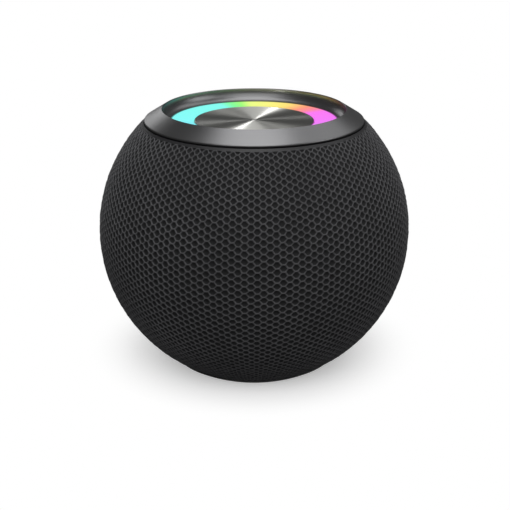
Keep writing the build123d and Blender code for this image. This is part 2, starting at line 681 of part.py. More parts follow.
with BuildPart() as acoustic_chamber:
    add(chamber_core.part)
    add(chamber_cavity.part, mode=Mode.SUBTRACT)
    # rim that takes the lid screws
    add(rim.part)
    with BuildSketch(Plane.XY.offset(CHAMBER_TOP_Z)):
        with PolarLocations(lid_screw_r, LID_SCREW_COUNT, start_angle=180 / LID_SCREW_COUNT):
            Circle(SCREW_HOLE_R)
    extrude(amount=RIM_BLIND - RIM_T, mode=Mode.SUBTRACT)
    # driver hole in the floor, radiator holes in the side flats
    with BuildSketch(Plane.XY.offset(CHAMBER_LOW_Z)):
        Circle(BASKET_HOLE_R)
        with PolarLocations((DRIVER_R + BASKET_HOLE_R) / 2, DRIVER_SCREW_COUNT):
            Circle(SCREW_HOLE_R)
        with PolarLocations(wave_screw_at, FIN_COUNT):
            Circle(SCREW_HOLE_R)
    extrude(amount=CHAMBER_FLOOR, mode=Mode.SUBTRACT)
    with BuildSketch(Plane.YZ):
        with Locations((0, RADIATOR_Z)):
            Circle(RADIATOR_HOLE_R)
    extrude(amount=CHAMBER_R, both=True, mode=Mode.SUBTRACT)
finish(acoustic_chamber.part, "acoustic_chamber")

with BuildPart() as chamber_gasket:
    extrude(top_face, amount=GASKET_T)
    extrude(rim_opening, amount=GASKET_T, mode=Mode.SUBTRACT)
    with BuildSketch(Plane.XY.offset(CHAMBER_TOP_Z)):
        with PolarLocations(lid_screw_r, LID_SCREW_COUNT, start_angle=180 / LID_SCREW_COUNT):
            Circle(SCREW_HOLE_R)
    extrude(amount=GASKET_T, mode=Mode.SUBTRACT)
finish(chamber_gasket.part, "chamber_gasket")

# lid with towers for the main board (diagonals) and for the top deck (axes)
with BuildPart() as chamber_lid:
    extrude(top_face, amount=GASKET_T + LID_T)
    extrude(top_face, amount=GASKET_T, mode=Mode.SUBTRACT)
    with BuildSketch(Plane.XY.offset(LID_TOP_Z)):
        with PolarLocations(TOWER_AT, 4, start_angle=45):
            Circle(TOWER_R)
    extrude(amount=MAIN_LOW_Z - LID_TOP_Z)
    with BuildSketch(Plane.XY.offset(LID_TOP_Z)):
        with PolarLocations(DECK_BOSS_AT, 4):
            Circle(DECK_BOSS_R)
    extrude(amount=boss_low_z - LID_TOP_Z)
    # frame round the battery
    with BuildSketch(Plane.XY.offset(LID_TOP_Z)):
        pill(
            BATTERY_L + 2 * (BATTERY_FIT + BATTERY_RIB_T),
            BATTERY_W + 2 * (BATTERY_FIT + BATTERY_RIB_T),
            BATTERY_ROUND + BATTERY_RIB_T,
        )
        RectangleRounded(
            BATTERY_L + 2 * BATTERY_FIT,
            BATTERY_W + 2 * BATTERY_FIT,
            BATTERY_ROUND,
            mode=Mode.SUBTRACT,
        )
    extrude(amount=BATTERY_RIB_H)
    with Locations(*polar_places(DECK_BOSS_AT, 4, boss_low_z)):
        Hole(SCREW_HOLE_R, depth=SCREW_LENGTH)
    with Locations(*polar_places(TOWER_AT, 4, MAIN_LOW_Z, first=45)):
        Hole(SCREW_HOLE_R, depth=SCREW_LENGTH)
    with Locations(*polar_places(lid_screw_r, LID_SCREW_COUNT, LID_TOP_Z, first=180 / LID_SCREW_COUNT)):
        Hole(SCREW_HOLE_R, depth=LID_T)
finish(chamber_lid.part, "chamber_lid")

with BuildPart() as lid_screws:
    with Locations(*polar_places(lid_screw_r, LID_SCREW_COUNT, LID_TOP_Z, first=180 / LID_SCREW_COUNT)):
        add(pan_screw(SCREW_LENGTH))
finish(lid_screws.part, "lid_screws")

# ---------------------------------------------------------------- battery and main board
with BuildPart() as battery_pad:
    with BuildSketch(Plane.XY.offset(LID_TOP_Z)):
        RectangleRounded(
            BATTERY_L - 2 * BATTERY_PAD_INSET,
            BATTERY_W - 2 * BATTERY_PAD_INSET,
            BATTERY_ROUND,
        )
    extrude(amount=BATTERY_PAD_T)
finish(battery_pad.part, "battery_pad")

with BuildPart() as battery_cell:
    with BuildSketch(Plane.XY.offset(BATTERY_LOW_Z)):
        RectangleRounded(BATTERY_L, BATTERY_W, BATTERY_ROUND)
    extrude(amount=BATTERY_H)
    fillet(battery_cell.faces().sort_by(Axis.Z)[-1].edges(), BATTERY_ROUND / 2)
finish(battery_cell.part, "battery_cell")

with BuildPart() as main_board:
    with BuildSketch(Plane.XY.offset(MAIN_LOW_Z)):
        Circle(MAIN_BOARD_R)
        # notches that are open at the edge, for the deck's bosses
        with PolarLocations(DECK_BOSS_AT, 4):
            Circle(DECK_BOSS_R + HEAD_FIT, mode=Mode.SUBTRACT)
            Rectangle(
                MAIN_BOARD_R,
                2 * (DECK_BOSS_R + HEAD_FIT),
                align=(Align.MIN, Align.CENTER),
                mode=Mode.SUBTRACT,
            )
        with PolarLocations(TOWER_AT, 4, start_angle=45):
            Circle(SCREW_HOLE_R, mode=Mode.SUBTRACT)
    extrude(amount=MAIN_BOARD_T)
finish(main_board.part, "main_board")

with BuildPart() as board_screws:
    with Locations(*polar_places(TOWER_AT, 4, MAIN_TOP_Z, first=45)):
        add(pan_screw(SCREW_LENGTH))
finish(board_screws.part, "board_screws")

with BuildPart() as board_shield:
    with Locations((SHIELD_X, SHIELD_Y, MAIN_TOP_Z)):
        Box(SHIELD_L, SHIELD_W, SHIELD_H, align=(Align.CENTER, Align.CENTER, Align.MIN))
    fillet(board_shield.faces().sort_by(Axis.Z)[-1].edges(), SHIELD_H / 5)
    # a closed can with an open underside
    offset(amount=-SHIELD_WALL, openings=board_shield.faces().sort_by(Axis.Z)[0])
finish(board_shield.part, "board_shield")

with BuildPart() as board_parts:
    with BuildSketch(Plane.XY.offset(MAIN_TOP_Z)):
        with Locations(*BOARD_CHIP_PLACES):
            Rectangle(BOARD_CHIP_W, BOARD_CHIP_W)
    extrude(amount=BOARD_CHIP_H)
    with BuildSketch(Plane.XY.offset(MAIN_TOP_Z)):
        with Locations(*CAPACITOR_PLACES):
            Circle(CAPACITOR_R)
    extrude(amount=CAPACITOR_H)
finish(board_parts.part, "board_parts")

# flat cable from the light board, through the deck's slot, to the main board
with BuildPart() as ribbon_cable:
    with BuildSketch(Plane.XZ.offset(-RIBBON_Y)):
        with BuildLine():
            FilletPolyline(
                (RIBBON_X - FLEX_TAIL, MAIN_TOP_Z + FLEX_T / 2),
                (RIBBON_X, MAIN_TOP_Z + FLEX_T / 2),
                (RIBBON_X, BOARD_LOW_Z - FLEX_T / 2),
                radius=FLEX_T,
            )
        trace(line_width=FLEX_T)
    extrude(amount=FLEX_W / 2, both=True)
finish(ribbon_cable.part, "ribbon_cable")

# ---------------------------------------------------------------- driver, firing down
cone_edge_z = FLANGE_LOW_Z + CONE_SET_IN + SURROUND_T
cone_neck_z = cone_edge_z + CONE_DEPTH
basket_back_z = CHAMBER_LOW_Z + BASKET_DEPTH
plate_low_z = basket_back_z + BASKET_WALL
magnet_low_z = plate_low_z + TOP_PLATE_T
yoke_low_z = magnet_low_z + MAGNET_T
basket_out_r = BASKET_HOLE_R - BASKET_FIT
basket_in_r = basket_out_r - BASKET_WALL
basket_shoulder_z = CHAMBER_LOW_Z - BASKET_WALL / 2
spider_hole_r = COIL_R + COIL_T + SPIDER_LIFT
spider_z = cone_neck_z + SPIDER_LIFT
dust_rim_z = cone_neck_z - DUST_CAP_SINK
coil_low_z = dust_rim_z + CONE_T
surround_out_r = CONE_R + SURROUND_W
cone_middle_r = (CONE_R + COIL_R) / 2 - CONE_BOW_IN
cone_middle_z = (cone_edge_z + cone_neck_z) / 2

with BuildPart() as driver_basket:
    revolve(
        outline(
            (surround_out_r, FLANGE_LOW_Z),
            (DRIVER_R, FLANGE_LOW_Z),
            (DRIVER_R, CHAMBER_LOW_Z),
            (basket_out_r, CHAMBER_LOW_Z),
            (TOP_PLATE_R + BASKET_WALL, basket_back_z),
            (TOP_PLATE_R + BASKET_WALL, plate_low_z),
            (spider_hole_r, plate_low_z),
            (spider_hole_r, basket_back_z),
            (TOP_PLATE_R, basket_back_z),
            (basket_in_r, basket_shoulder_z),
            (surround_out_r, basket_shoulder_z),
        ),
        axis=Axis.Z,
    )
    # windows between the spokes
    with BuildSketch(Plane.XY.offset(CHAMBER_LOW_Z + CHAMBER_FLOOR + BASKET_FIT)):
        with PolarLocations(DRIVER_R, BASKET_WINDOW_COUNT):
            Rectangle(DRIVER_R, BASKET_WINDOW_W)
    extrude(amount=cone_neck_z - CHAMBER_LOW_Z - CHAMBER_FLOOR, mode=Mode.SUBTRACT)
    with BuildSketch(Plane.XY.offset(FLANGE_LOW_Z)):
        with PolarLocations((DRIVER_R + BASKET_HOLE_R) / 2, DRIVER_SCREW_COUNT):
            Circle(SCREW_HOLE_R)
    extrude(amount=DRIVER_FLANGE_T, mode=Mode.SUBTRACT)
finish(driver_basket.part, "driver_basket")

with BuildPart() as driver_screws:
    flange_screw_at = (DRIVER_R + BASKET_HOLE_R) / 2
    with Locations(
        *polar_places(flange_screw_at, DRIVER_SCREW_COUNT, FLANGE_LOW_Z, flip=True)
    ):
        add(pan_screw(DRIVER_FLANGE_T + CHAMBER_FLOOR))
finish(driver_screws.part, "driver_screws")

with BuildPart() as driver_top_plate:
    revolve(
        outline(
            (COIL_R + PLATE_GAP, plate_low_z),
            (TOP_PLATE_R, plate_low_z),
            (TOP_PLATE_R, magnet_low_z),
            (COIL_R + PLATE_GAP, magnet_low_z),
        ),
        axis=Axis.Z,
    )
finish(driver_top_plate.part, "driver_top_plate")

with BuildPart() as driver_magnet:
    revolve(
        outline(
            (MAGNET_BORE, magnet_low_z),
            (MAGNET_R, magnet_low_z),
            (MAGNET_R, yoke_low_z),
            (MAGNET_BORE, yoke_low_z),
        ),
        axis=Axis.Z,
    )
    round_edges = driver_magnet.edges().filter_by(GeomType.CIRCLE)
    chamfer(round_edges.group_by(SortBy.RADIUS)[-1], 0.5)
finish(driver_magnet.part, "driver_magnet")

pole_r = COIL_R - COIL_T - POLE_GAP
with BuildPart() as driver_yoke:
    revolve(
        outline(
            (0, plate_low_z),
            (pole_r, plate_low_z),
            (pole_r, yoke_low_z),
            (YOKE_R, yoke_low_z),
            (YOKE_R, yoke_low_z + YOKE_T - YOKE_BEVEL),
            (YOKE_R - YOKE_BEVEL, yoke_low_z + YOKE_T),
            (0, yoke_low_z + YOKE_T),
        ),
        axis=Axis.Z,
    )
finish(driver_yoke.part, "driver_yoke")

with BuildPart() as voice_coil:
    revolve(
        outline(
            (COIL_R - COIL_T, coil_low_z),
            (COIL_R, coil_low_z),
            (COIL_R, coil_low_z + COIL_LENGTH),
            (COIL_R - COIL_T, coil_low_z + COIL_LENGTH),
        ),
        axis=Axis.Z,
    )
finish(voice_coil.part, "voice_coil")

with BuildPart() as driver_cone:
    with BuildSketch(Plane.XZ):
        with BuildLine():
            front = ThreePointArc(
                (CONE_R, cone_edge_z),
                (cone_middle_r, cone_middle_z - CONE_BOW_DOWN),
                (COIL_R, cone_neck_z),
            )
            back = ThreePointArc(
                (CONE_R, cone_edge_z + CONE_T),
                (cone_middle_r + CONE_T * 0.7, cone_middle_z),
                (COIL_R, cone_neck_z + CONE_T * 1.4),
            )
            Line(front @ 0, back @ 0)
            Line(front @ 1, back @ 1)
        make_face()
    revolve(axis=Axis.Z)
finish(driver_cone.part, "driver_cone")

dust_dome_r = (COIL_R**2 + DUST_CAP_H**2) / (2 * DUST_CAP_H)
dust_half = asin(COIL_R / dust_dome_r) / 2
dust_middle = (dust_dome_r * sin(dust_half), dust_dome_r * (1 - cos(dust_half)) - DUST_CAP_H)
with BuildPart() as dust_cap:
    with BuildSketch(Plane.XZ):
        with BuildLine():
            front = ThreePointArc(
                (COIL_R, dust_rim_z),
                (dust_middle[0], dust_rim_z + dust_middle[1]),
                (0, dust_rim_z - DUST_CAP_H),
            )
            back = ThreePointArc(
                (COIL_R, dust_rim_z + CONE_T),
                (dust_middle[0], dust_rim_z + dust_middle[1] + CONE_T),
                (0, dust_rim_z - DUST_CAP_H + CONE_T),
            )
            Line(front @ 0, back @ 0)
            Line(front @ 1, back @ 1)
        make_face()
    revolve(axis=Axis.Z)
finish(dust_cap.part, "dust_cap")


def half_roll(inner_r, outer_r, thickness):
    """Profile of a half-roll surround: local X from the axis, local Y along it."""
    middle = (inner_r + outer_r) / 2
    swell = (outer_r - inner_r) / 2 - ROLL_LAND
    with BuildSketch() as roll:
        with BuildLine():
            Polyline((middle + swell, thickness), (outer_r, thickness), (outer_r, 0))
            Line((outer_r, 0), (middle + swell - thickness, 0))
            CenterArc((middle, 0), swell - thickness, 0, 180)
            Polyline((middle - swell + thickness, 0), (inner_r, 0), (inner_r, thickness))
            Line((inner_r, thickness), (middle - swell, thickness))
            ThreePointArc(
                (middle - swell, thickness),
                (middle, thickness + swell - ROLL_THIN),
                (middle + swell, thickness),
            )
        make_face()
    return roll.sketch


with BuildPart() as driver_surround:
    roll_plane = Plane(origin=(0, 0, cone_edge_z), x_dir=(1, 0, 0), z_dir=(0, 1, 0))
    revolve(roll_plane * half_roll(CONE_R - SURROUND_LAP, surround_out_r, SURROUND_T), axis=Axis.Z)
finish(driver_surround.part, "driver_surround")

with BuildPart() as driver_spider:
    pitch = (TOP_PLATE_R - SPIDER_FIT - COIL_R) / SPIDER_FOLDS
    crest_z = spider_z + SPIDER_T
    upper = [(COIL_R + pitch * i, crest_z + SPIDER_WAVE * (i % 2)) for i in range(SPIDER_FOLDS + 1)]
    lower = [(r, height - SPIDER_T) for r, height in reversed(upper)]
    revolve(outline(*upper, *lower), axis=Axis.Z)
finish(driver_spider.part, "driver_spider")

# ---------------------------------------------------------------- passive radiators
for side, sign in (("left", -1), ("right", 1)):
    flat = Plane(
        origin=(sign * CHAMBER_SIDE_X, 0, RADIATOR_Z),
        x_dir=(0, 0, 1),
        z_dir=(sign, 0, 0),
    )
    axle = Axis((0, 0, RADIATOR_Z), (sign, 0, 0))
    with BuildPart() as radiator_frame:
        with BuildSketch(flat):
            Circle(RADIATOR_R)
            Circle(RADIATOR_HOLE_R - RADIATOR_LIP, mode=Mode.SUBTRACT)
        extrude(amount=RADIATOR_FRAME_T)
        outer_rim = radiator_frame.edges().filter_by(GeomType.CIRCLE).group_by(SortBy.RADIUS)[-1]
        fillet(outer_rim.sort_by(Axis.X)[-1 if sign > 0 else 0], RADIATOR_FRAME_T / 4)
    finish(radiator_frame.part, f"{side}_radiator_frame")
    with BuildPart() as radiator_plate:
        with BuildSketch(flat):
            Circle(RADIATOR_PLATE_R)
        extrude(amount=RADIATOR_PLATE_T)
        with BuildSketch(flat.offset(RADIATOR_PLATE_T)):
            Circle(RADIATOR_WEIGHT_R)
        extrude(amount=RADIATOR_PLATE_T / 2)
    finish(radiator_plate.part, f"{side}_radiator_plate")
    with BuildPart() as radiator_surround:
        rolled = half_roll(RADIATOR_PLATE_R, RADIATOR_HOLE_R - RADIATOR_LIP, RADIATOR_SURROUND_T)
        section_plane = Plane(origin=flat.origin, x_dir=(0, 0, 1), z_dir=(0, sign, 0))
        revolve(section_plane * rolled, axis=axle)
    finish(radiator_surround.part, f"{side}_radiator_surround")

# ---------------------------------------------------------------- waveguide and base
with BuildPart() as waveguide:
    # plate and horn that turn the sound outwards
    with BuildSketch(Plane.XZ):
        with BuildLine():
            Polyline(
                (WAVE_TIP_R, WAVE_TOP_Z),
                (0, WAVE_TOP_Z),
                (0, BASE_TOP_Z),
                (WAVE_R, BASE_TOP_Z),
                (WAVE_R, BASE_TOP_Z + WAVE_T),
            )
            ThreePointArc(
                (WAVE_R, BASE_TOP_Z + WAVE_T),
                (WAVE_R * HORN_HOLLOW, BASE_TOP_Z + (WAVE_TOP_Z - BASE_TOP_Z) * HORN_HOLLOW),
                (WAVE_TIP_R, WAVE_TOP_Z),
            )
        make_face()
    revolve(axis=Axis.Z)
    # ring that screws to the chamber
    with BuildSketch(Plane.XY.offset(CHAMBER_LOW_Z)):
        Circle(fin_top_out)
        Circle(fin_top_in, mode=Mode.SUBTRACT)
    extrude(amount=-WAVE_T)
    # upright fins between plate and ring
    for number in range(FIN_COUNT):
        fin_plane = Plane.XZ.rotated((0, 0, 45 + 360 * number / FIN_COUNT))
        with BuildSketch(fin_plane):
            with BuildLine():
                low_out = (ball_reach(INNER_R - HEAD_FIT, fin_low_z), fin_low_z)
                high_out = (fin_top_out - FIN_INSET, CHAMBER_LOW_Z - WAVE_T / 2)
                bulge_z = (low_out[1] + high_out[1]) / 2
                ThreePointArc(low_out, (ball_reach(INNER_R - HEAD_FIT, bulge_z), bulge_z), high_out)
                Polyline(
                    high_out,
                    (fin_top_in + FIN_INSET, CHAMBER_LOW_Z - WAVE_T / 2),
                    (FIN_FOOT_R, BASE_TOP_Z + WAVE_T - FIN_SINK),
                    (WAVE_R - FIN_INSET, BASE_TOP_Z + WAVE_T - FIN_SINK),
                    low_out,
                )
            make_face()
        extrude(amount=FIN_T / 2, both=True)
    # blind bosses inside the horn for the base screws
    with Locations(*polar_places(BASE_SCREW_AT, FIN_COUNT, BASE_TOP_Z, flip=True)):
        Hole(SCREW_HOLE_R, depth=SCREW_LENGTH - BASE_T + SCREW_TIP)
    # screws from the ring up into the chamber floor
    with Locations(*polar_places(wave_screw_at, FIN_COUNT, CHAMBER_LOW_Z)):
        Hole(SCREW_HOLE_R, depth=WAVE_T)
finish(waveguide.part, "waveguide")

with BuildPart() as waveguide_screws:
    with Locations(*polar_places(wave_screw_at, FIN_COUNT, CHAMBER_LOW_Z - WAVE_T, flip=True)):
        add(pan_screw(WAVE_T + CHAMBER_FLOOR))
finish(waveguide_screws.part, "waveguide_screws")

base_rim = on_ball(BASE_R, COVER_LOW)
base_rim_in = on_ball(INNER_R, COVER_LOW)
base_edge_r = ball_reach(BASE_R, BASE_Z)
with BuildPart() as base_shell:
    with BuildSketch(Plane.XZ) as base_profile:
        with BuildLine():
            middle_z = (BASE_Z + base_rim[1]) / 2
            ThreePointArc((base_edge_r, BASE_Z), (ball_reach(BASE_R, middle_z), middle_z), base_rim)
            Polyline(
                base_rim,
                base_rim_in,
                (WAVE_R + HEAD_FIT, BASE_TOP_Z + WAVE_T),
                (WAVE_R + HEAD_FIT, BASE_TOP_Z),
                (0, BASE_TOP_Z),
                (0, BASE_Z),
                (base_edge_r, BASE_Z),
            )
        make_face()
        fillet(base_profile.vertices().sort_by(Axis.Y)[0:2].sort_by(Axis.X)[-1], BASE_ROUND)
    revolve(axis=Axis.Z)
    # groove for the foot, recessed screw heads
    with BuildSketch(Plane.XY.offset(BASE_Z)):
        Circle(FOOT_R + FOOT_FIT)
        Circle(FOOT_R - FOOT_W - FOOT_FIT, mode=Mode.SUBTRACT)
    extrude(amount=FOOT_SEAT, mode=Mode.SUBTRACT)
    with Locations(*polar_places(BASE_SCREW_AT, FIN_COUNT, BASE_Z, flip=True)):
        CounterBoreHole(SCREW_HOLE_R, HEAD_HOLE_R, SCREW_HEAD_H, depth=BASE_T)
finish(base_shell.part, "base_shell")

with BuildPart() as base_screws:
    with Locations(*polar_places(BASE_SCREW_AT, FIN_COUNT, BASE_Z + SCREW_HEAD_H, flip=True)):
        add(pan_screw(SCREW_LENGTH - SCREW_HEAD_H))
finish(base_screws.part, "base_screws")

with BuildPart() as rubber_foot:
    revolve(
        outline(
            (FOOT_R - FOOT_W, 0),
            (FOOT_R, 0),
            (FOOT_R, BASE_Z + FOOT_SEAT),
            (FOOT_R - FOOT_W, BASE_Z + FOOT_SEAT),
        ),
        axis=Axis.Z,
    )
    fillet(rubber_foot.edges().group_by(Axis.Z)[0], BASE_Z / 2)
finish(rubber_foot.part, "rubber_foot")

# ---------------------------------------------------------------- knit cover and carcass
with BuildPart() as panel_block:
    with BuildSketch(rear_plane):
        with Locations((0, PANEL_Z)):
            pill(PANEL_W + 2 * PANEL_FIT, PANEL_H + 2 * PANEL_FIT, PANEL_ROUND + PANEL_FIT)
    extrude(amount=FAR_Y)

with BuildPart() as knit_cover:
    revolve(ball_band(BALL_R, GRILLE_R, COVER_LOW, COVER_TOP), axis=Axis.Z)
    add(panel_block.part, mode=Mode.SUBTRACT)
finish(knit_cover.part, "knit_cover")

# honeycomb of hexagonal windows; alternate rows are shifted by half a column
column_step = 360 / GRILLE_COLUMNS
column_pitch = radians(column_step) * GRILLE_R
row_span = COVER_TOP - COVER_LOW - 2 * GRILLE_HEM
row_count = int(row_span / GRILLE_ROW_STEP) + 1
first_row = (COVER_LOW + COVER_TOP) / 2 - GRILLE_ROW_STEP * (row_count - 1) / 2


def window_cutter(latitude, angle, size):
    """Hexagonal prism that points out of the ball, or None where the panel sits."""
    lean, turn = radians(latitude), radians(angle)
    radial = Vector(cos(lean) * cos(turn), cos(lean) * sin(turn), sin(lean))
    place = Vector(0, 0, CENTRE_Z) + radial * (INNER_R - CUT_OVERRUN)
    border = PANEL_FLANGE_W + size + CUT_OVERRUN
    beside = abs(place.X) > PANEL_W / 2 + border
    above_or_below = abs(place.Z - PANEL_Z) > PANEL_H / 2 + border
    if place.Y > 0 and not beside and not above_or_below:
        return None
    with BuildPart() as cutter:
        with BuildSketch(Plane(origin=place, x_dir=(-sin(turn), cos(turn), 0), z_dir=radial)):
            RegularPolygon(size, 6, major_radius=False, rotation=30)
        extrude(amount=GRILLE_T + 2 * CUT_OVERRUN)
    return cutter.part


windows = []
for row in range(row_count):
    row_latitude = first_row + row * GRILLE_ROW_STEP
    window_r = (column_pitch * cos(radians(row_latitude)) - GRILLE_RIB) / 2
    for column in range(GRILLE_COLUMNS):
        column_angle = (column + 0.5 * (row % 2)) * column_step
        windows.append(window_cutter(row_latitude, column_angle, window_r))

with BuildPart() as grille_shell:
    revolve(ball_band(GRILLE_R, INNER_R, COVER_LOW, COVER_TOP), axis=Axis.Z)
    add([window for window in windows if window], mode=Mode.SUBTRACT)
    add(panel_block.part, mode=Mode.SUBTRACT)
finish(grille_shell.part, "grille_shell")

# ---------------------------------------------------------------- rear panel and keys
panel_back_r = PANEL_FACE_R - PANEL_T
flange_back_r = INNER_R - PANEL_FLANGE_T
usb_mouth_y = sqrt(PANEL_FACE_R**2 - (USB_Z - CENTRE_Z) ** 2) - USB_SET_IN
key_row_middle = (len(KEY_NAMES) - 1) / 2
key_places = [(KEY_PITCH * (number - key_row_middle), KEY_Z) for number in range(len(KEY_NAMES))]
key_board_screw_places = [(side * KEY_SCREW_X, PANEL_Z - KEY_SCREW_DROP) for side in (-1, 1)]


def rear_prism(width, height, corner, near_y, far_y):
    """Rounded prism along +Y, centred on the rear panel."""
    with BuildPart() as prism:
        with BuildSketch(rear_plane.offset(near_y)):
            with Locations((0, PANEL_Z)):
                pill(width, height, corner)
        extrude(amount=far_y - near_y)
    return prism.part


def rear_pins(radius):
    """Pins at the key board's screw places, from the board's front towards the panel."""
    with BuildPart() as pins:
        with BuildSketch(rear_plane.offset(KEY_BOARD_FRONT_Y)):
            with Locations(*key_board_screw_places):
                Circle(radius)
        extrude(amount=BALL_R - KEY_BOARD_FRONT_Y)
    return pins.part


def rear_ball(radius):
    """Solid ball used to give the rear pieces their curved faces."""
    with BuildPart() as ball:
        with Locations((0, 0, CENTRE_Z)):
            Sphere(radius)
    return ball.part


prism_near_y = CHAMBER_REAR_Y / 2
with BuildPart() as port_panel:
    # curved face with a raised lip round it
    add(rear_prism(PANEL_W, PANEL_H, PANEL_ROUND, prism_near_y, FAR_Y))
    add(rear_ball(BALL_R + PANEL_LIP_PROUD), mode=Mode.INTERSECT)
    face_w = PANEL_W - 2 * PANEL_LIP_W
    face_h = PANEL_H - 2 * PANEL_LIP_W
    face_prism = rear_prism(face_w, face_h, PANEL_ROUND - PANEL_LIP_W, prism_near_y, FAR_Y)
    add(face_prism - rear_ball(PANEL_FACE_R), mode=Mode.SUBTRACT)
    # flange behind the carcass
    flange_w = PANEL_W + 2 * PANEL_FLANGE_W
    flange_h = PANEL_H + 2 * PANEL_FLANGE_W
    flange = rear_prism(flange_w, flange_h, PANEL_ROUND + PANEL_FLANGE_W, prism_near_y, FAR_Y)
    add(flange & rear_ball(INNER_R))
    add(rear_ball(flange_back_r), mode=Mode.SUBTRACT)
    pocket = rear_prism(face_w, face_h, PANEL_ROUND - PANEL_LIP_W, prism_near_y, FAR_Y)
    add(pocket & rear_ball(panel_back_r), mode=Mode.SUBTRACT)
    # bosses that carry the key board
    add(rear_pins(SCREW_R + BOSS_WALL) & rear_ball(panel_back_r + PANEL_T / 4))
    add(rear_pins(SCREW_HOLE_R) & rear_ball(panel_back_r), mode=Mode.SUBTRACT)
    # key openings, plug pocket and socket slot
    with BuildSketch(rear_plane):
        with Locations(*key_places):
            pill(KEY_W + 2 * KEY_GAP, KEY_H + 2 * KEY_GAP, KEY_ROUND + KEY_GAP)
        with Locations((0, USB_Z)):
            pill(USB_W + 2 * KEY_GAP, USB_H + 2 * KEY_GAP, USB_H)
    extrude(amount=FAR_Y, mode=Mode.SUBTRACT)
    with BuildSketch(rear_plane.offset(usb_mouth_y + USB_SET_IN - PORT_POCKET_DEPTH)):
        with Locations((0, USB_Z)):
            pill(USB_W + 2 * PORT_POCKET, USB_H + 2 * PORT_POCKET, USB_H)
    extrude(amount=FAR_Y, mode=Mode.SUBTRACT)
finish(port_panel.part, "port_panel")


def key_collar(key_x, key_z):
    """Curved plate behind the panel's face, wider than the key's opening."""
    margin = 2 * (KEY_GAP + KEY_COLLAR)
    collar_r = panel_back_r - SCREW_FIT
    with BuildPart() as collar:
        with BuildSketch(rear_plane.offset(KEY_BACK_Y)):
            with Locations((key_x, key_z)):
                pill(KEY_W + margin, KEY_H + margin, KEY_ROUND)
        extrude(amount=FAR_Y - KEY_BACK_Y)
        add(rear_ball(collar_r), mode=Mode.INTERSECT)
        add(rear_ball(collar_r - KEY_COLLAR_T), mode=Mode.SUBTRACT)
    return collar.part


for name, (key_x, key_z) in zip(KEY_NAMES, key_places):
    with BuildPart() as key:
        with BuildSketch(rear_plane.offset(KEY_BACK_Y)):
            with Locations((key_x, key_z)):
                pill(KEY_W, KEY_H, KEY_ROUND)
        extrude(amount=FAR_Y - KEY_BACK_Y)
        add(rear_ball(BALL_R + KEY_PROUD), mode=Mode.INTERSECT)
        fillet(key.edges().group_by(Axis.Y)[-1], KEY_PROUD * 0.5)
        # collar behind the panel that keeps the key in
        add(key_collar(key_x, key_z))
    finish(key.part, name)

with BuildPart() as key_board:
    with BuildSketch(rear_plane.offset(KEY_BOARD_Y)):
        with Locations((0, PANEL_Z)):
            RectangleRounded(KEY_BOARD_W, KEY_BOARD_H, KEY_ROUND)
        with Locations(*key_board_screw_places):
            Circle(SCREW_HOLE_R, mode=Mode.SUBTRACT)
    extrude(amount=BOARD_T)
finish(key_board.part, "key_board")

with BuildPart() as key_board_screws:
    with Locations(*[Location((-x, KEY_BOARD_Y, z), (90, 0, 0)) for x, z in key_board_screw_places]):
        add(pan_screw(KEY_SCREW_LENGTH))
finish(key_board_screws.part, "key_board_screws")

with BuildPart() as key_switches:
    with BuildSketch(rear_plane.offset(KEY_BOARD_FRONT_Y)):
        with Locations(*key_places):
            Rectangle(KEY_SWITCH_W, KEY_SWITCH_W)
    extrude(amount=KEY_SWITCH_H)
finish(key_switches.part, "key_switches")

with BuildPart() as usb_c_socket:
    with BuildSketch(rear_plane.offset(KEY_BOARD_FRONT_Y)):
        with Locations((0, USB_Z)):
            pill(USB_W, USB_H, USB_H)
    extrude(amount=usb_mouth_y - KEY_BOARD_FRONT_Y)
    with BuildSketch(rear_plane.offset(usb_mouth_y)):
        with Locations((0, USB_Z)):
            pill(USB_W - 2 * USB_WALL, USB_H - 2 * USB_WALL, USB_H)
            Rectangle(USB_TONGUE_W, USB_TONGUE_H, mode=Mode.SUBTRACT)
    extrude(amount=KEY_BOARD_FRONT_Y + USB_FLOOR - usb_mouth_y, mode=Mode.SUBTRACT)
finish(usb_c_socket.part, "usb_c_socket")

# flat cable from the main board down behind the chamber to the key board
flex_top_z = MAIN_TOP_Z + FLEX_T / 2
flex_start_y = sqrt(MAIN_BOARD_R**2 - FLEX_X**2) - 2 * FLEX_TAIL
flex_drop_y = CHAMBER_REAR_Y + FLEX_CLEAR
flex_end_y = KEY_BOARD_Y - FLEX_T / 2
key_board_top_z = PANEL_Z + KEY_BOARD_H / 2
with BuildPart() as key_flex:
    with BuildSketch(Plane.YZ.offset(FLEX_X)):
        with BuildLine():
            FilletPolyline(
                (flex_start_y, flex_top_z),
                (MAIN_BOARD_R + FLEX_BEND, flex_top_z),
                (flex_drop_y, flex_top_z - FLEX_TAIL),
                (flex_drop_y, key_board_top_z + FLEX_TAIL),
                (flex_end_y, key_board_top_z - FLEX_BEND),
                (flex_end_y, PANEL_Z),
                radius=FLEX_BEND,
            )
        trace(line_width=FLEX_T)
    extrude(amount=FLEX_W / 2, both=True)
finish(key_flex.part, "key_flex")
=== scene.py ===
import logging
import math
from dataclasses import dataclass
from enum import Enum
from typing import Sequence

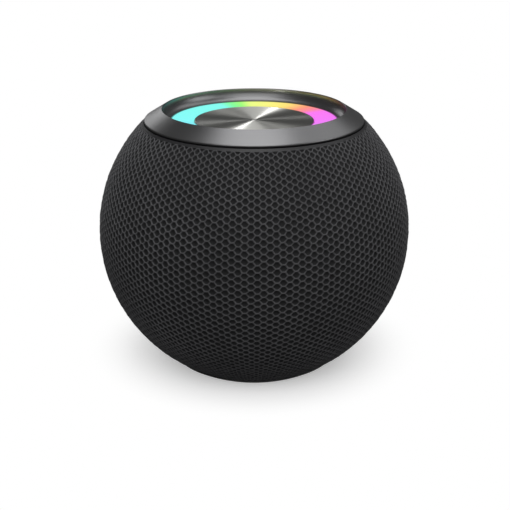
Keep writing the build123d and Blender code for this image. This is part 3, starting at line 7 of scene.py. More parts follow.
import bmesh
import bpy
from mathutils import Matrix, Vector


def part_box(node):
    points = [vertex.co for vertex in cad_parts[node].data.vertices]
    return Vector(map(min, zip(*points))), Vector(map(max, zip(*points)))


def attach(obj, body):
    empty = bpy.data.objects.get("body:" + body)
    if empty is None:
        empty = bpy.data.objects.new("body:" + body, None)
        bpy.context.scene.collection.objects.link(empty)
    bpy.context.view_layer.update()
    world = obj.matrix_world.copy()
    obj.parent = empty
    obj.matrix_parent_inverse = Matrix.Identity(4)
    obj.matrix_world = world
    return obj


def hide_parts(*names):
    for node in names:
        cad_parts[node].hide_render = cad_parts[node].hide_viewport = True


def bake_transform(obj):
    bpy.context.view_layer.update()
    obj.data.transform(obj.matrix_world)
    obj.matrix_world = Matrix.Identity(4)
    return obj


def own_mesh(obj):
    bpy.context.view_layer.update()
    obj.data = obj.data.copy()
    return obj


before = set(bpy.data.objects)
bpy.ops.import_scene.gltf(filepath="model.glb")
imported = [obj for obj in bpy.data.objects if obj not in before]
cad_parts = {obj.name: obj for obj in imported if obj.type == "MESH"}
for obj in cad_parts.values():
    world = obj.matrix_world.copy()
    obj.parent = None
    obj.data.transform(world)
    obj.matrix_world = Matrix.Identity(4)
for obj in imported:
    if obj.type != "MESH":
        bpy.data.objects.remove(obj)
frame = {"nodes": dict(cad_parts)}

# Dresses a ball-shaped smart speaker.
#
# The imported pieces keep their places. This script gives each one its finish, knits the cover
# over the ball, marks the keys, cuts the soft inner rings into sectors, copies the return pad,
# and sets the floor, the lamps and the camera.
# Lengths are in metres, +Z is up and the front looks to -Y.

log = logging.getLogger("speaker")
MM = 0.001
BALL_CENTRE_Z = 46.0 * MM
Colour = tuple[float, float, float]
Point = tuple[float, float]
Socket = bpy.types.NodeSocket


# ------------------------------------------------------------------ node helpers
class NodeKit:
    """Adds and joins nodes in one node tree."""

    def __init__(self, tree: bpy.types.NodeTree) -> None:
        """Keep the tree that is being built.

        Args:
            tree: the shader or geometry tree to fill.
        """
        self.tree = tree

    def feed(self, node: bpy.types.Node, **values: object) -> None:
        """Link sockets to a node's inputs, or set the inputs to plain values.

        Args:
            node: the node to feed.
            **values: a socket or a value for each input, by its number or by its name with
                "_" for a space.
        """
        for name, value in values.items():
            target = node.inputs[int(name) if name.isdigit() else name.replace("_", " ")]
            if isinstance(value, bpy.types.NodeSocket):
                self.tree.links.new(value, target)
            elif target.type == "RGBA":
                target.default_value = (*value[:3], 1.0)
            else:
                target.default_value = value

    def add(self, kind: str, **settings: object) -> bpy.types.Node:
        """Add a node.

        Args:
            kind: the node's bl_idname.
            **settings: attributes, or what its inputs are fed when the name starts with "in_".

        Returns:
            The new node.
        """
        node = self.tree.nodes.new(kind)
        for name, value in settings.items():
            if name.startswith("in_"):
                self.feed(node, **{name.removeprefix("in_"): value})
            else:
                setattr(node, name, value)
        return node

    def math(self, operation: str, *values: object, clamp: bool = False) -> Socket:
        """Add a Math node.

        Args:
            operation: the Math node's operation.
            *values: numbers or sockets for its inputs.
            clamp: keep the result from 0 to 1.

        Returns:
            The result's socket.
        """
        node = self.add("ShaderNodeMath", operation=operation, use_clamp=clamp)
        self.feed(node, **{str(index): value for index, value in enumerate(values)})
        return node.outputs[0]

    def mix_colour(self, factor: object, low: object, high: object) -> Socket:
        """Mix two colours.

        Args:
            factor: a number or socket from 0 to 1.
            low: colour or socket at 0.
            high: colour or socket at 1.

        Returns:
            The mixed colour's socket.
        """
        return self.add("ShaderNodeMix", data_type="RGBA", in_0=factor, in_6=low, in_7=high).outputs[2]

    def mix_shaders(self, factor: Socket, low: Socket, high: Socket) -> Socket:
        """Mix two shaders.

        Args:
            factor: a socket from 0 to 1.
            low: the shader at 0.
            high: the shader at 1.

        Returns:
            The mixed shader's socket.
        """
        return self.add("ShaderNodeMixShader", in_0=factor, in_1=low, in_2=high).outputs[0]

    def ease(self, value: Socket, low: float, high: float, end: float = 1.0) -> Socket:
        """Rise smoothly with a value.

        Args:
            value: the value's socket.
            low: where the result is 0.
            high: where the result has reached its end.
            end: the result from there on.

        Returns:
            The result's socket.
        """
        rise = self.add("ShaderNodeMapRange", interpolation_type="SMOOTHSTEP")
        self.feed(rise, Value=value, From_Min=low, From_Max=high, To_Max=end)
        return rise.outputs["Result"]

    def place(self) -> Socket:
        """The place on the object, as a shader sees it."""
        return self.add("ShaderNodeTexCoord").outputs["Object"]

    def split(self, vector: Socket) -> tuple[Socket, ...]:
        """X, Y and Z of a vector."""
        return tuple(self.add("ShaderNodeSeparateXYZ", in_0=vector).outputs)

    def combine(self, x: object, y: object, z: object) -> Socket:
        """A vector from three numbers or sockets."""
        return self.add("ShaderNodeCombineXYZ", in_0=x, in_1=y, in_2=z).outputs[0]

    def radius(self, x: Socket, y: Socket) -> Socket:
        """Distance from the Z axis."""
        squares = [self.math("POWER", side, 2.0) for side in (x, y)]
        return self.math("SQRT", self.math("ADD", *squares))

    def point(self) -> tuple[Socket, ...]:
        """X, Y and Z of the point that a geometry tree works on."""
        return self.split(self.add("GeometryNodeInputPosition").outputs[0])

    def put(self, geometry: Socket, **values: object) -> Socket:
        """Set or shift the points of a geometry.

        Args:
            geometry: the geometry's socket.
            **values: what Position, Offset and Selection are fed.

        Returns:
            The geometry with its points moved.
        """
        node = self.add("GeometryNodeSetPosition", in_Geometry=geometry)
        self.feed(node, **values)
        return node.outputs["Geometry"]


def shader_group(name: str, inputs: dict[str, float], outputs: dict[str, str]) -> bpy.types.NodeTree:
    """Start a shader node group with float inputs.

    Args:
        name: the group's name.
        inputs: input names with their first values.
        outputs: output names with their socket types.

    Returns:
        The group's tree, with its input and output nodes named "in" and "out".
    """
    tree = bpy.data.node_groups.new(name, "ShaderNodeTree")
    for label, value in inputs.items():
        socket = tree.interface.new_socket(name=label, in_out="INPUT", socket_type="NodeSocketFloat")
        socket.default_value = value
    for label, kind in outputs.items():
        tree.interface.new_socket(name=label, in_out="OUTPUT", socket_type=kind)
    tree.nodes.new("NodeGroupInput").name = "in"
    tree.nodes.new("NodeGroupOutput").name = "out"
    return tree


class SharedEffects:
    """Node groups that several finishes use, each built once."""

    speck_reach: float = 0.18
    ring_slant: float = 0.6

    def __init__(self) -> None:
        """Build the groups."""
        self.grain = self._grain()
        self.brushing = self._brushing()
        self.dust = self._dust()

    def _grain(self) -> bpy.types.NodeTree:
        """Make the moulded grain: a fine height and a slow patchiness, both 0 to 1.

        Returns:
            The group's tree.
        """
        tree = shader_group(
            "moulded_grain",
            {"Scale": 2600.0, "Patch Scale": 60.0},
            {"Height": "NodeSocketFloat", "Patches": "NodeSocketFloat"},
        )
        kit, given = NodeKit(tree), tree.nodes["in"].outputs
        place = kit.place()
        fine = kit.add("ShaderNodeTexNoise", in_Vector=place, in_Detail=3.0, in_Roughness=0.6)
        slow = kit.add("ShaderNodeTexNoise", in_Vector=place, in_Detail=2.0, in_Roughness=0.5)
        kit.feed(fine, Scale=given["Scale"])
        kit.feed(slow, Scale=given["Patch Scale"])
        kit.feed(tree.nodes["out"], Height=fine.outputs["Fac"], Patches=slow.outputs["Fac"])
        return tree

    def _brushing(self) -> bpy.types.NodeTree:
        """Make fine rings about the Z axis, as turned or circular-brushed metal has.

        Returns:
            The group's tree.
        """
        tree = shader_group(
            "ring_brushing", {"Scale": 3200.0}, {"Height": "NodeSocketFloat", "Rings": "NodeSocketFloat"}
        )
        kit = NodeKit(tree)
        x, y, z = kit.split(kit.place())
        line = kit.combine(kit.radius(x, y), kit.math("MULTIPLY", z, self.ring_slant), 0.0)
        rings = kit.add("ShaderNodeTexNoise", in_Vector=line, in_Detail=4.0, in_Roughness=0.7)
        kit.feed(rings, Scale=tree.nodes["in"].outputs["Scale"])
        kit.feed(tree.nodes["out"], Height=rings.outputs["Fac"], Rings=rings.outputs["Fac"])
        return tree

    def _dust(self) -> bpy.types.NodeTree:
        """Make sparse soft specks, 0 to 1, for a used but clean surface.

        Returns:
            The group's tree.
        """
        tree = shader_group("faint_dust", {"Scale": 900.0, "Amount": 0.3}, {"Mask": "NodeSocketFloat"})
        kit, given = NodeKit(tree), tree.nodes["in"].outputs
        specks = kit.add("ShaderNodeTexVoronoi", feature="F1", in_Vector=kit.place(), in_Scale=given["Scale"])
        near = kit.math("SUBTRACT", self.speck_reach, specks.outputs["Distance"], clamp=True)
        kit.feed(tree.nodes["out"], Mask=kit.math("MULTIPLY", near, given["Amount"], clamp=True))
        return tree


# ------------------------------------------------------------------ finishes
@dataclass(frozen=True)
class Finish:
    """A surface finish: colour, gloss and the fine structure on it."""

    name: str
    colour: Colour
    roughness: float = 0.5
    metallic: float = 0.0
    grain: float = 2600.0
    bump: float = 0.02
    bump_depth: float = 0.00004
    variation: float = 0.12
    coat: float = 0.0
    coat_roughness: float = 0.2
    patch_gloss: float = 0.16
    dust_colour: Colour = (0.35, 0.34, 0.33)

    def start(self) -> tuple[bpy.types.Material, NodeKit, bpy.types.Node]:
        """Make the material with a plain Principled surface.

        Returns:
            The material, its node kit and the Principled node.
        """
        material = bpy.data.materials.new(self.name)
        material.use_nodes = True
        kit = NodeKit(material.node_tree)
        surface = material.node_tree.nodes["Principled BSDF"]
        kit.feed(surface, Roughness=self.roughness, Metallic=self.metallic)
        kit.feed(surface, Coat_Weight=self.coat, Coat_Roughness=self.coat_roughness)
        return material, kit, surface

    def relief(self, kit: NodeKit, surface: bpy.types.Node, height: Socket) -> None:
        """Feed a height to the surface's normal.

        Args:
            kit: the material's node kit.
            surface: the Principled node.
            height: the height's socket.
        """
        bump = kit.add("ShaderNodeBump", in_Strength=self.bump, in_Distance=self.bump_depth)
        kit.feed(bump, Height=height)
        kit.feed(surface, Normal=bump.outputs["Normal"])

    def patchy(self, kit: NodeKit, patches: Socket) -> Socket:
        """The roughness, a little up and down with slow patches."""
        return kit.math("MULTIPLY_ADD", patches, self.patch_gloss, self.roughness - self.patch_gloss / 2)

    def shade(self, factor: float) -> Colour:
        """The colour made darker or lighter by a factor."""
        return tuple(min(1.0, c * factor) for c in self.colour)

    def varied(self, kit: NodeKit, factor: Socket) -> Socket:
        """The colour, from a little darker to a little lighter with a factor."""
        return kit.mix_colour(factor, self.shade(1 - self.variation), self.shade(1 + self.variation))

    def build(self, effects: SharedEffects) -> bpy.types.Material:
        """Build the grained finish.

        Args:
            effects: the shared node groups.

        Returns:
            The finished material.
        """
        material, kit, surface = self.start()
        grain = kit.add("ShaderNodeGroup", node_tree=effects.grain, in_Scale=self.grain)
        dust = kit.add("ShaderNodeGroup", node_tree=effects.dust)
        base = self.varied(kit, grain.outputs["Patches"])
        dusty = kit.mix_colour(dust.outputs["Mask"], base, self.dust_colour)
        kit.feed(surface, Base_Color=dusty, Roughness=self.patchy(kit, grain.outputs["Patches"]))
        self.relief(kit, surface, grain.outputs["Height"])
        return material


@dataclass(frozen=True)
class RingBrushed(Finish):
    """Metal brushed in rings about the Z axis, with an anisotropic sheen.

    The sheen lies across the rings, a quarter turn from the tangent.
    """

    patch_gloss: float = 0.10
    anisotropy: float = 0.0
    sheen_turn: float = 0.25
    ring_scale: float = 3200.0

    def build(self, effects: SharedEffects) -> bpy.types.Material:
        """Build the brushed finish.

        Args:
            effects: the shared node groups.

        Returns:
            The finished material.
        """
        material, kit, surface = self.start()
        rings = kit.add("ShaderNodeGroup", node_tree=effects.brushing, in_Scale=self.ring_scale)
        grain = kit.add("ShaderNodeGroup", node_tree=effects.grain, in_Scale=self.grain)
        kit.feed(surface, Base_Color=self.varied(kit, rings.outputs["Rings"]))
        kit.feed(surface, Roughness=self.patchy(kit, grain.outputs["Patches"]))
        if self.anisotropy:
            tangent = kit.add("ShaderNodeTangent", direction_type="RADIAL", axis="Z")
            kit.feed(surface, Anisotropic=self.anisotropy, Anisotropic_Rotation=self.sheen_turn)
            kit.feed(surface, Tangent=tangent.outputs[0])
        self.relief(kit, surface, rings.outputs["Height"])
        return material


@dataclass(frozen=True)
class OpalLight(Finish):
    """Opal light ring whose glow changes colour round the Z axis, with painted gap shade at its outer edge.
    """

    glow: float = 1.0
    stops: tuple[tuple[float, Colour], ...] = ()
    # the glow darkens from the first radius to the second: painted shade of the gap under the trim's wall
    edge: tuple[float, float] = (25.95 * MM, 26.5 * MM)
    edge_dimming: float = 0.86
    own_share: float = 0.9
    clouding: float = 0.04
    specular: float = 0.2

    def colours(self, kit: NodeKit, share: Socket) -> Socket:
        """Lay the colour stops round the ring.

        Args:
            kit: the material's node kit.
            share: the share of the turn, 0 and 1 at the front and 0.5 at the back.

        Returns:
            The colour's socket.
        """
        ramp = kit.add("ShaderNodeValToRGB", in_0=share)
        ramp.color_ramp.interpolation = "LINEAR"
        elements = ramp.color_ramp.elements
        elements[0].color = (*self.stops[0][1], 1.0)
        elements[1].color = (*self.stops[-1][1], 1.0)
        for degrees, colour in self.stops[1:-1]:
            elements.new(degrees / 360 + 0.5).color = (*colour, 1.0)
        return ramp.outputs[0]

    def build(self, effects: SharedEffects) -> bpy.types.Material:
        """Build the glowing finish.

        Args:
            effects: the shared node groups.

        Returns:
            The finished material.
        """
        material, kit, surface = self.start()
        x, y, _ = kit.split(kit.place())
        share = kit.math("MULTIPLY_ADD", kit.math("ARCTAN2", x, y), 1 / math.tau, 0.5)
        colour = self.colours(kit, share)
        # painted shade: the glow darkens at the outer edge, where the trim's wall shades the gap
        gap_shade_mask = kit.ease(kit.radius(x, y), *self.edge, self.edge_dimming)
        grain = kit.add("ShaderNodeGroup", node_tree=effects.grain, in_Scale=self.grain)
        cloud = kit.math("MULTIPLY", grain.outputs["Patches"], self.clouding)
        soft = kit.mix_colour(cloud, colour, (1.0, 1.0, 1.0))
        kit.feed(surface, Base_Color=kit.mix_colour(self.own_share, colour, self.colour))
        kit.feed(surface, Emission_Color=kit.mix_colour(gap_shade_mask, soft, (0.0, 0.0, 0.0)))
        kit.feed(surface, Emission_Strength=self.glow, Specular_IOR_Level=self.specular)
        self.relief(kit, surface, grain.outputs["Height"])
        return material


@dataclass(frozen=True)
class KnitYarn(Finish):
    """Open knit: light yarn ridges over dark openings, with painted shade deepening by the mesh's depth
    attribute.
    """

    # near-black of the openings, which also serves as painted shade down the pocket walls
    opening: Colour = (0.019, 0.019, 0.020)
    opening_edge: tuple[float, float] = (0.25, 0.75)
    patch_scale: float = 45.0
    sheen: float = 0.12
    sheen_roughness: float = 0.4
    specular: float = 0.25

    def build(self, effects: SharedEffects) -> bpy.types.Material:
        """Build the knit finish.

        Args:
            effects: the shared node groups.

        Returns:
            The finished material.
        """
        material, kit, surface = self.start()
        depth = kit.add("ShaderNodeAttribute", attribute_name="knit_depth").outputs["Fac"]
        fibres = kit.add("ShaderNodeTexNoise", in_Scale=self.grain, in_Detail=4.0, in_Roughness=0.75)
        kit.feed(fibres, Vector=kit.place())
        slow = kit.add("ShaderNodeGroup", node_tree=effects.grain, in_Scale=self.grain)
        kit.feed(slow, Patch_Scale=self.patch_scale)
        uneven = kit.math("MULTIPLY", fibres.outputs["Fac"], slow.outputs["Patches"])
        yarn = kit.mix_colour(uneven, self.shade(1 - self.variation), self.shade(1 + 2 * self.variation))
        # painted shade: the yarn darkens with the pocket's depth, between the two depths, to the near-black
        # of the openings
        kit.feed(surface, Base_Color=kit.mix_colour(kit.ease(depth, *self.opening_edge), yarn, self.opening))
        kit.feed(surface, Sheen_Weight=self.sheen, Sheen_Roughness=self.sheen_roughness)
        kit.feed(surface, Specular_IOR_Level=self.specular)
        self.relief(kit, surface, fibres.outputs["Fac"])
        return material


@dataclass(frozen=True)
class BoardMask(Finish):
    """Circuit board: solder mask over copper tracks, with small pads."""

    track_scale: float = 110.0
    track_width: float = 0.04
    track_shades: tuple[float, float] = (0.8, 1.9)
    pad_scale: float = 330.0
    pad_size: float = 0.16
    pad_colour: Colour = (0.72, 0.66, 0.5)
    pad_metallic: float = 0.9

    def build(self, effects: SharedEffects) -> bpy.types.Material:
        """Build the board finish.

        Args:
            effects: the shared node groups, which this finish has no use for.

        Returns:
            The finished material.
        """
        material, kit, surface = self.start()
        place = kit.place()
        darker, lighter = (self.shade(factor) for factor in self.track_shades)
        tracks = kit.add("ShaderNodeTexBrick", in_Vector=place, in_Scale=self.track_scale)
        kit.feed(tracks, Color1=self.colour, Color2=darker, Mortar=lighter, Mortar_Size=self.track_width)
        pads = kit.add("ShaderNodeTexVoronoi", in_Vector=place, in_Scale=self.pad_scale)
        pad = kit.math("LESS_THAN", pads.outputs["Distance"], self.pad_size)
        kit.feed(surface, Base_Color=kit.mix_colour(pad, tracks.outputs["Color"], self.pad_colour))
        kit.feed(surface, Metallic=kit.math("MULTIPLY", pad, self.pad_metallic))
        self.relief(kit, surface, tracks.outputs["Fac"])
        return material


@dataclass(frozen=True)
class WoundWire(Finish):
    """Enamelled wire wound about the Z axis, with painted shade in the grooves between turns."""

    turns_scale: float = 260.0
    groove_shade: float = 0.6

    def build(self, effects: SharedEffects) -> bpy.types.Material:
        """Build the wound finish.

        Args:
            effects: the shared node groups, which this finish has no use for.

        Returns:
            The finished material.
        """
        material, kit, surface = self.start()
        turns = kit.add("ShaderNodeTexWave", bands_direction="Z", in_Scale=self.turns_scale)
        kit.feed(turns, Vector=kit.place())
        # painted shade: the copper is darker in the grooves between turns
        wire = kit.mix_colour(turns.outputs["Fac"], self.shade(self.groove_shade), self.colour)
        kit.feed(surface, Base_Color=wire)
        self.relief(kit, surface, turns.outputs["Fac"])
        return material


class Metalwork(Enum):
    """Slots whose metal is brushed in rings."""

    TRIM = "metal_trim"
    BUTTON = "button_metal"


def make_finishes(effects: SharedEffects) -> dict[str, bpy.types.Material]:
    """Build every finish of the speaker.

    Args:
        effects: the shared node groups.

    Returns:
        Materials by the record's slot name.
    """
    # degrees from the back of the ring, rising towards +X
    light_stops = (
        (-180.0, (0.30, 0.30, 1.00)),
        (-135.0, (0.18, 0.72, 1.00)),
        (-90.0, (0.20, 0.97, 0.95)),
        (-28.0, (0.19, 0.98, 0.86)),
        (-19.0, (0.17, 0.98, 0.30)),
        (-11.0, (0.30, 0.98, 0.14)),
        (-3.0, (0.80, 0.98, 0.19)),
        (12.0, (0.95, 0.92, 0.17)),
        (28.0, (1.00, 0.76, 0.15)),
        (44.0, (1.00, 0.30, 0.18)),
        (54.0, (1.00, 0.22, 0.34)),
        (63.0, (0.98, 0.16, 0.92)),
        (110.0, (0.90, 0.17, 1.00)),
        (150.0, (0.52, 0.20, 1.00)),
        (180.0, (0.30, 0.30, 1.00)),
    )
    finishes: dict[str, Finish] = {
        Metalwork.TRIM.value: RingBrushed(
            "gunmetal_anodised", (0.225, 0.225, 0.23), 0.34, 1.0, bump=0.05, variation=0.06
        ),
        Metalwork.BUTTON.value: RingBrushed(
            "circular_brushed_metal", (0.51, 0.51, 0.485), 0.42, 1.0,
            bump=0.10, variation=0.10, anisotropy=0.95,
        ),
        "opal": OpalLight("opal_light", (0.04, 0.04, 0.04), 0.40, glow=0.90, stops=light_stops),
        "white_plastic": Finish("white_plastic", (0.82, 0.83, 0.84), 0.35),
        "dark_plastic": Finish("dark_plastic", (0.022, 0.022, 0.024), 0.46),
        "knit": KnitYarn("open_knit", (0.105, 0.105, 0.11), 0.85, bump=0.35, variation=0.35, grain=5200.0),
        "key_rubber": Finish("key_rubber", (0.035, 0.035, 0.038), 0.62),
        "foot_rubber": Finish("foot_rubber", (0.030, 0.030, 0.032), 0.80, grain=1800.0, bump=0.05),
        "silicone": Finish("silicone", (0.62, 0.63, 0.64), 0.48),
        "membrane": Finish("roll_rubber", (0.018, 0.018, 0.019), 0.50),
        "paper_cone": Finish("pressed_paper", (0.055, 0.054, 0.052), 0.88, grain=1500.0, bump=0.12),
        "spider_cloth": Finish("resin_cloth", (0.60, 0.42, 0.18), 0.85, grain=1400.0, bump=0.15),
        "coil_copper": WoundWire("enamelled_copper", (0.78, 0.36, 0.16), 0.32, 1.0, bump=0.3),
        "steel": Finish("plated_steel", (0.60, 0.61, 0.62), 0.30, 1.0, variation=0.05),
        "magnet_ferrite": Finish("ferrite", (0.085, 0.085, 0.09), 0.58, 0.3, grain=1300.0, bump=0.06),
        "board_green": BoardMask("solder_mask", (0.012, 0.085, 0.035), 0.32, bump=0.2),
        "chip_black": Finish("chip_resin", (0.022, 0.022, 0.024), 0.52),
        "chip_white": Finish("light_chip", (0.88, 0.87, 0.80), 0.30),
        "battery_wrap": Finish("battery_foil", (0.30, 0.32, 0.34), 0.36, 0.5, bump=0.08),
        "foam": Finish("foam", (0.05, 0.05, 0.052), 0.95, grain=900.0, bump=0.3),
        "flex_film": Finish("polyimide_film", (0.52, 0.24, 0.04), 0.28, coat=0.3),
        "mark_white": Finish("printed_mark", (0.55, 0.56, 0.57), 0.50),
    }
    return {slot: finish.build(effects) for slot, finish in finishes.items()}


def dress_node(node: bpy.types.Object, material: bpy.types.Material) -> None:
    """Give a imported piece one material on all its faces.

    Args:
        node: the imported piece.
        material: its finish.
    """
    node.data.materials.clear()
    node.data.materials.append(material)
    for polygon in node.data.polygons:
        polygon.material_index = 0


def new_object(name: str, mesh: bpy.types.Mesh) -> bpy.types.Object:
    """Add an object for a mesh to the scene.

    Args:
        name: the object's name.
        mesh: its mesh.

    Returns:
        The object.
    """
    made = bpy.data.objects.new(name, mesh)
    bpy.context.scene.collection.objects.link(made)
    return made


# ------------------------------------------------------------------ knit cover
@dataclass
class KnitCover:
    """The open knit that is stretched over the ball.

    It is a net of six-sided meshes in columns round the ball, neighbouring columns half a row
    apart. Each mesh has a ridge of yarn, a rounded shoulder and a pocket that the knit finish
    paints dark as shade.
    """

    ball_r: float
    centre_z: float
    low: float = -58.0
    top: float = 44.2
    columns: int = 166
    rows: int = 41
    pocket: float = 0.55 * MM
    hem: float = 0.8 * MM
    mesh_sides: int = 6
    mesh_reach: float = 2 / 3
    shoulder_share: tuple[float, float] = (0.95, 0.86)
    opening_share: tuple[float, float] = (0.82, 0.70)
    pinch: tuple[float, float] = (0.50, 0.80)
    shoulder_drop: float = 0.22
    wander: float = 0.46 * MM
    wander_scale: float = 700.0
    weld: float = 0.02 * MM
    panel_middle: tuple[float, float] = (0.0, 38.0 * MM)
    panel_half: tuple[float, float] = (19.4 * MM, 9.4 * MM)
    panel_round: float = 5.4 * MM

    def height(self, latitude: float) -> float:
        """Height of a latitude on the ball."""
        return self.centre_z + self.ball_r * math.sin(math.radians(latitude))

    def narrow(self, kit: NodeKit, top: Socket, mesh: Socket, share: Point, pinch: float) -> Socket:
        """Draw the inner face of a mesh in, more where it is far from the row's middle.

        Args:
            kit: the geometry tree's kit.
            top: the inner face's selection.
            mesh: the geometry.
            share: what is left of its width and its height.
            pinch: how much more it narrows with the distance from the row's middle.

        Returns:
            The geometry's socket.
        """
        x, y, z = kit.point()
        closing = kit.math("MULTIPLY_ADD", kit.math("ABSOLUTE", y), -pinch, share[0])
        inward = kit.combine(kit.math("MULTIPLY", x, closing), kit.math("MULTIPLY", y, share[1]), z)
        return kit.put(mesh, Selection=top, Position=inward)

    def cell(self, kit: NodeKit) -> Socket:
        """One mesh of the knit: ridge outside, pocket inside that the finish paints dark as shade, one column
        and one row wide.

        Args:
            kit: the geometry tree's kit.

        Returns:
            The geometry's socket; Z is 0 on the ridge and -1 at the pocket's floor.
        """
        ring = kit.add("GeometryNodeMeshCircle", fill_type="NGON", in_Vertices=self.mesh_sides)
        kit.feed(ring, Radius=self.mesh_reach)
        # the stretch makes the hexagon one row high
        fit = kit.add("GeometryNodeTransform", in_Scale=(1.0, 0.75 / math.sin(math.radians(60)), 1.0))
        kit.feed(fit, Geometry=ring.outputs["Mesh"])
        mesh, selected = fit.outputs["Geometry"], {}
        narrowing = tuple(inner / outer for inner, outer in zip(self.opening_share, self.shoulder_share))
        steps = (
            (self.shoulder_share, self.pinch[0], -self.shoulder_drop),
            (narrowing, self.pinch[1], self.shoulder_drop - 1.0),
        )
        for share, pinch, drop in steps:
            push = kit.add("GeometryNodeExtrudeMesh", mode="FACES", in_Mesh=mesh, in_Offset_Scale=0.0)
            kit.feed(push, **selected)
            top = push.outputs["Top"]
            drawn_in = self.narrow(kit, top, push.outputs["Mesh"], share, pinch)
            mesh = kit.put(drawn_in, Selection=top, Offset=(0.0, 0.0, drop))
            selected = {"Selection": top}
        return mesh

    def lattice(self, kit: NodeKit, sizes: dict[str, Socket]) -> Socket:
        """Points of the flat lattice: X counts columns, Y counts rows, odd columns half a row up.

        Args:
            kit: the geometry tree's kit.
            sizes: the tree's named inputs.

        Returns:
            The points' socket.
        """
        grid = kit.add("GeometryNodeMeshGrid", in_Vertices_X=sizes["Columns"], in_Vertices_Y=sizes["Rows"])
        index = kit.add("GeometryNodeInputIndex").outputs[0]
        column = kit.math("FLOOR", kit.math("DIVIDE", kit.math("ADD", index, 0.5), sizes["Rows"]))
        row = kit.math("SUBTRACT", index, kit.math("MULTIPLY", column, sizes["Rows"]))
        shift = kit.math("MULTIPLY", kit.math("FLOORED_MODULO", column, 2.0), 0.5)
        place = kit.combine(column, kit.math("ADD", row, shift), 0.0)
        return kit.put(grid.outputs["Mesh"], Position=place)

    def wrap(self, kit: NodeKit, sizes: dict[str, Socket]) -> Socket:
        """Find where a point of the flat lattice lies on the ball.

        Args:
            kit: the geometry tree's kit.
            sizes: the tree's named inputs.

        Returns:
            The place's socket.
        """
        x, y, z = kit.point()
        turn = kit.math("MULTIPLY", kit.math("DIVIDE", x, sizes["Columns"]), math.tau)
        rise = kit.math("MULTIPLY_ADD", y, sizes["Row Step"], sizes["First Row"])
        radius = kit.math("MULTIPLY_ADD", z, sizes["Pocket"], sizes["Ball Radius"])
        flat = kit.math("MULTIPLY", radius, kit.math("COSINE", rise))
        return kit.combine(
            kit.math("MULTIPLY", flat, kit.math("COSINE", turn)),
            kit.math("MULTIPLY", flat, kit.math("SINE", turn)),
            kit.math("MULTIPLY_ADD", radius, kit.math("SINE", rise), sizes["Centre Height"]),
        )

    def stray(self, kit: NodeKit, sizes: dict[str, Socket]) -> Socket:
        """Find how far a point strays from its even place.

        Args:
            kit: the geometry tree's kit.
            sizes: the tree's named inputs.

        Returns:
            The offset's socket.
        """
        uneven = kit.add("ShaderNodeTexNoise", in_Detail=1.0, in_Scale=sizes["Wander Scale"])
        middle = kit.add(
            "ShaderNodeVectorMath", operation="SUBTRACT", in_0=uneven.outputs["Color"], in_1=(0.5, 0.5, 0.5)
        )
        stray = kit.add("ShaderNodeVectorMath", operation="SCALE", in_0=middle.outputs[0])
        kit.feed(stray, Scale=sizes["Wander"])
        return stray.outputs[0]

    def tree(self) -> tuple[bpy.types.NodeTree, dict[str, str]]:
        """Build the geometry tree.

        Returns:
            The tree, and the identifier of each named input.
        """
        tree = bpy.data.node_groups.new("knit_net", "GeometryNodeTree")
        floats = ("Row Step", "First Row", "Pocket", "Wander", "Wander Scale", "Ball Radius", "Centre Height")
        kinds = {"Columns": "Int", "Rows": "Int", **dict.fromkeys(floats, "Float"), "Material": "Material"}
        keys = {}
        for label, kind in kinds.items():
            made = tree.interface.new_socket(name=label, in_out="INPUT", socket_type=f"NodeSocket{kind}")
            keys[label] = made.identifier
        tree.interface.new_socket(name="Geometry", in_out="OUTPUT", socket_type="NodeSocketGeometry")
        kit = NodeKit(tree)
        given = kit.add("NodeGroupInput")
        sizes = {label: given.outputs[label] for label in kinds}
        spread = kit.add("GeometryNodeInstanceOnPoints", in_Points=self.lattice(kit, sizes))
        kit.feed(spread, Instance=self.cell(kit))
        real = kit.add("GeometryNodeRealizeInstances", in_0=spread.outputs[0])
        depth = kit.add("GeometryNodeStoreNamedAttribute", data_type="FLOAT", domain="POINT")
        sunk = kit.math("MULTIPLY", kit.point()[2], -1.0)
        kit.feed(depth, Name="knit_depth", Value=sunk, Geometry=real.outputs[0])
        even = kit.put(depth.outputs["Geometry"], Position=self.wrap(kit, sizes))
        strayed = kit.put(even, Offset=self.stray(kit, sizes))
        weld = kit.add("GeometryNodeMergeByDistance", in_Geometry=strayed, in_Distance=self.weld)
        smooth = kit.add("GeometryNodeSetShadeSmooth", in_Geometry=weld.outputs["Geometry"])
        paint = kit.add("GeometryNodeSetMaterial", in_Geometry=smooth.outputs["Geometry"])
        kit.feed(paint, Material=sizes["Material"])
        kit.add("NodeGroupOutput", in_0=paint.outputs["Geometry"])
        return tree, keys

    def net(self, material: bpy.types.Material) -> bpy.types.Object:
        """Evaluate the tree and keep the result as a plain mesh.

        Args:
            material: the knit finish.

        Returns:
            The whole net, not yet trimmed.
        """
        tree, keys = self.tree()
        step = math.radians(self.top - self.low) / self.rows
        values = {
            "Columns": self.columns,
            "Rows": self.rows + 2,
            "Row Step": step,
            "First Row": math.radians(self.low) - step / 2,
            "Pocket": self.pocket,
            "Wander": self.wander,
            "Wander Scale": self.wander_scale,
            "Ball Radius": self.ball_r,
            "Centre Height": self.centre_z,
            "Material": material,
        }
        holder = new_object("knit_cover_net", bpy.data.meshes.new("knit_holder"))
        modifier = holder.modifiers.new("net", "NODES")
        modifier.node_group = tree
        for label, value in values.items():
            modifier[keys[label]] = value
        bpy.context.view_layer.update()
        made = holder.evaluated_get(bpy.context.evaluated_depsgraph_get())
        mesh = bpy.data.meshes.new_from_object(made)
        holder.modifiers.remove(modifier)
        holder.data = mesh
        return holder

    def under_panel(self, point: Vector) -> bool:
        """Tell whether a point lies inside the rear panel's lip, with its rounded corners.

        Args:
            point: a point of the net.

        Returns:
            True where the net is cut away.
        """
        beyond = [
            max(abs(at - middle) - half + self.panel_round, 0.0)
            for at, middle, half in zip((point.x, point.z), self.panel_middle, self.panel_half)
        ]
        return point.y > 0 and math.hypot(*beyond) < self.panel_round

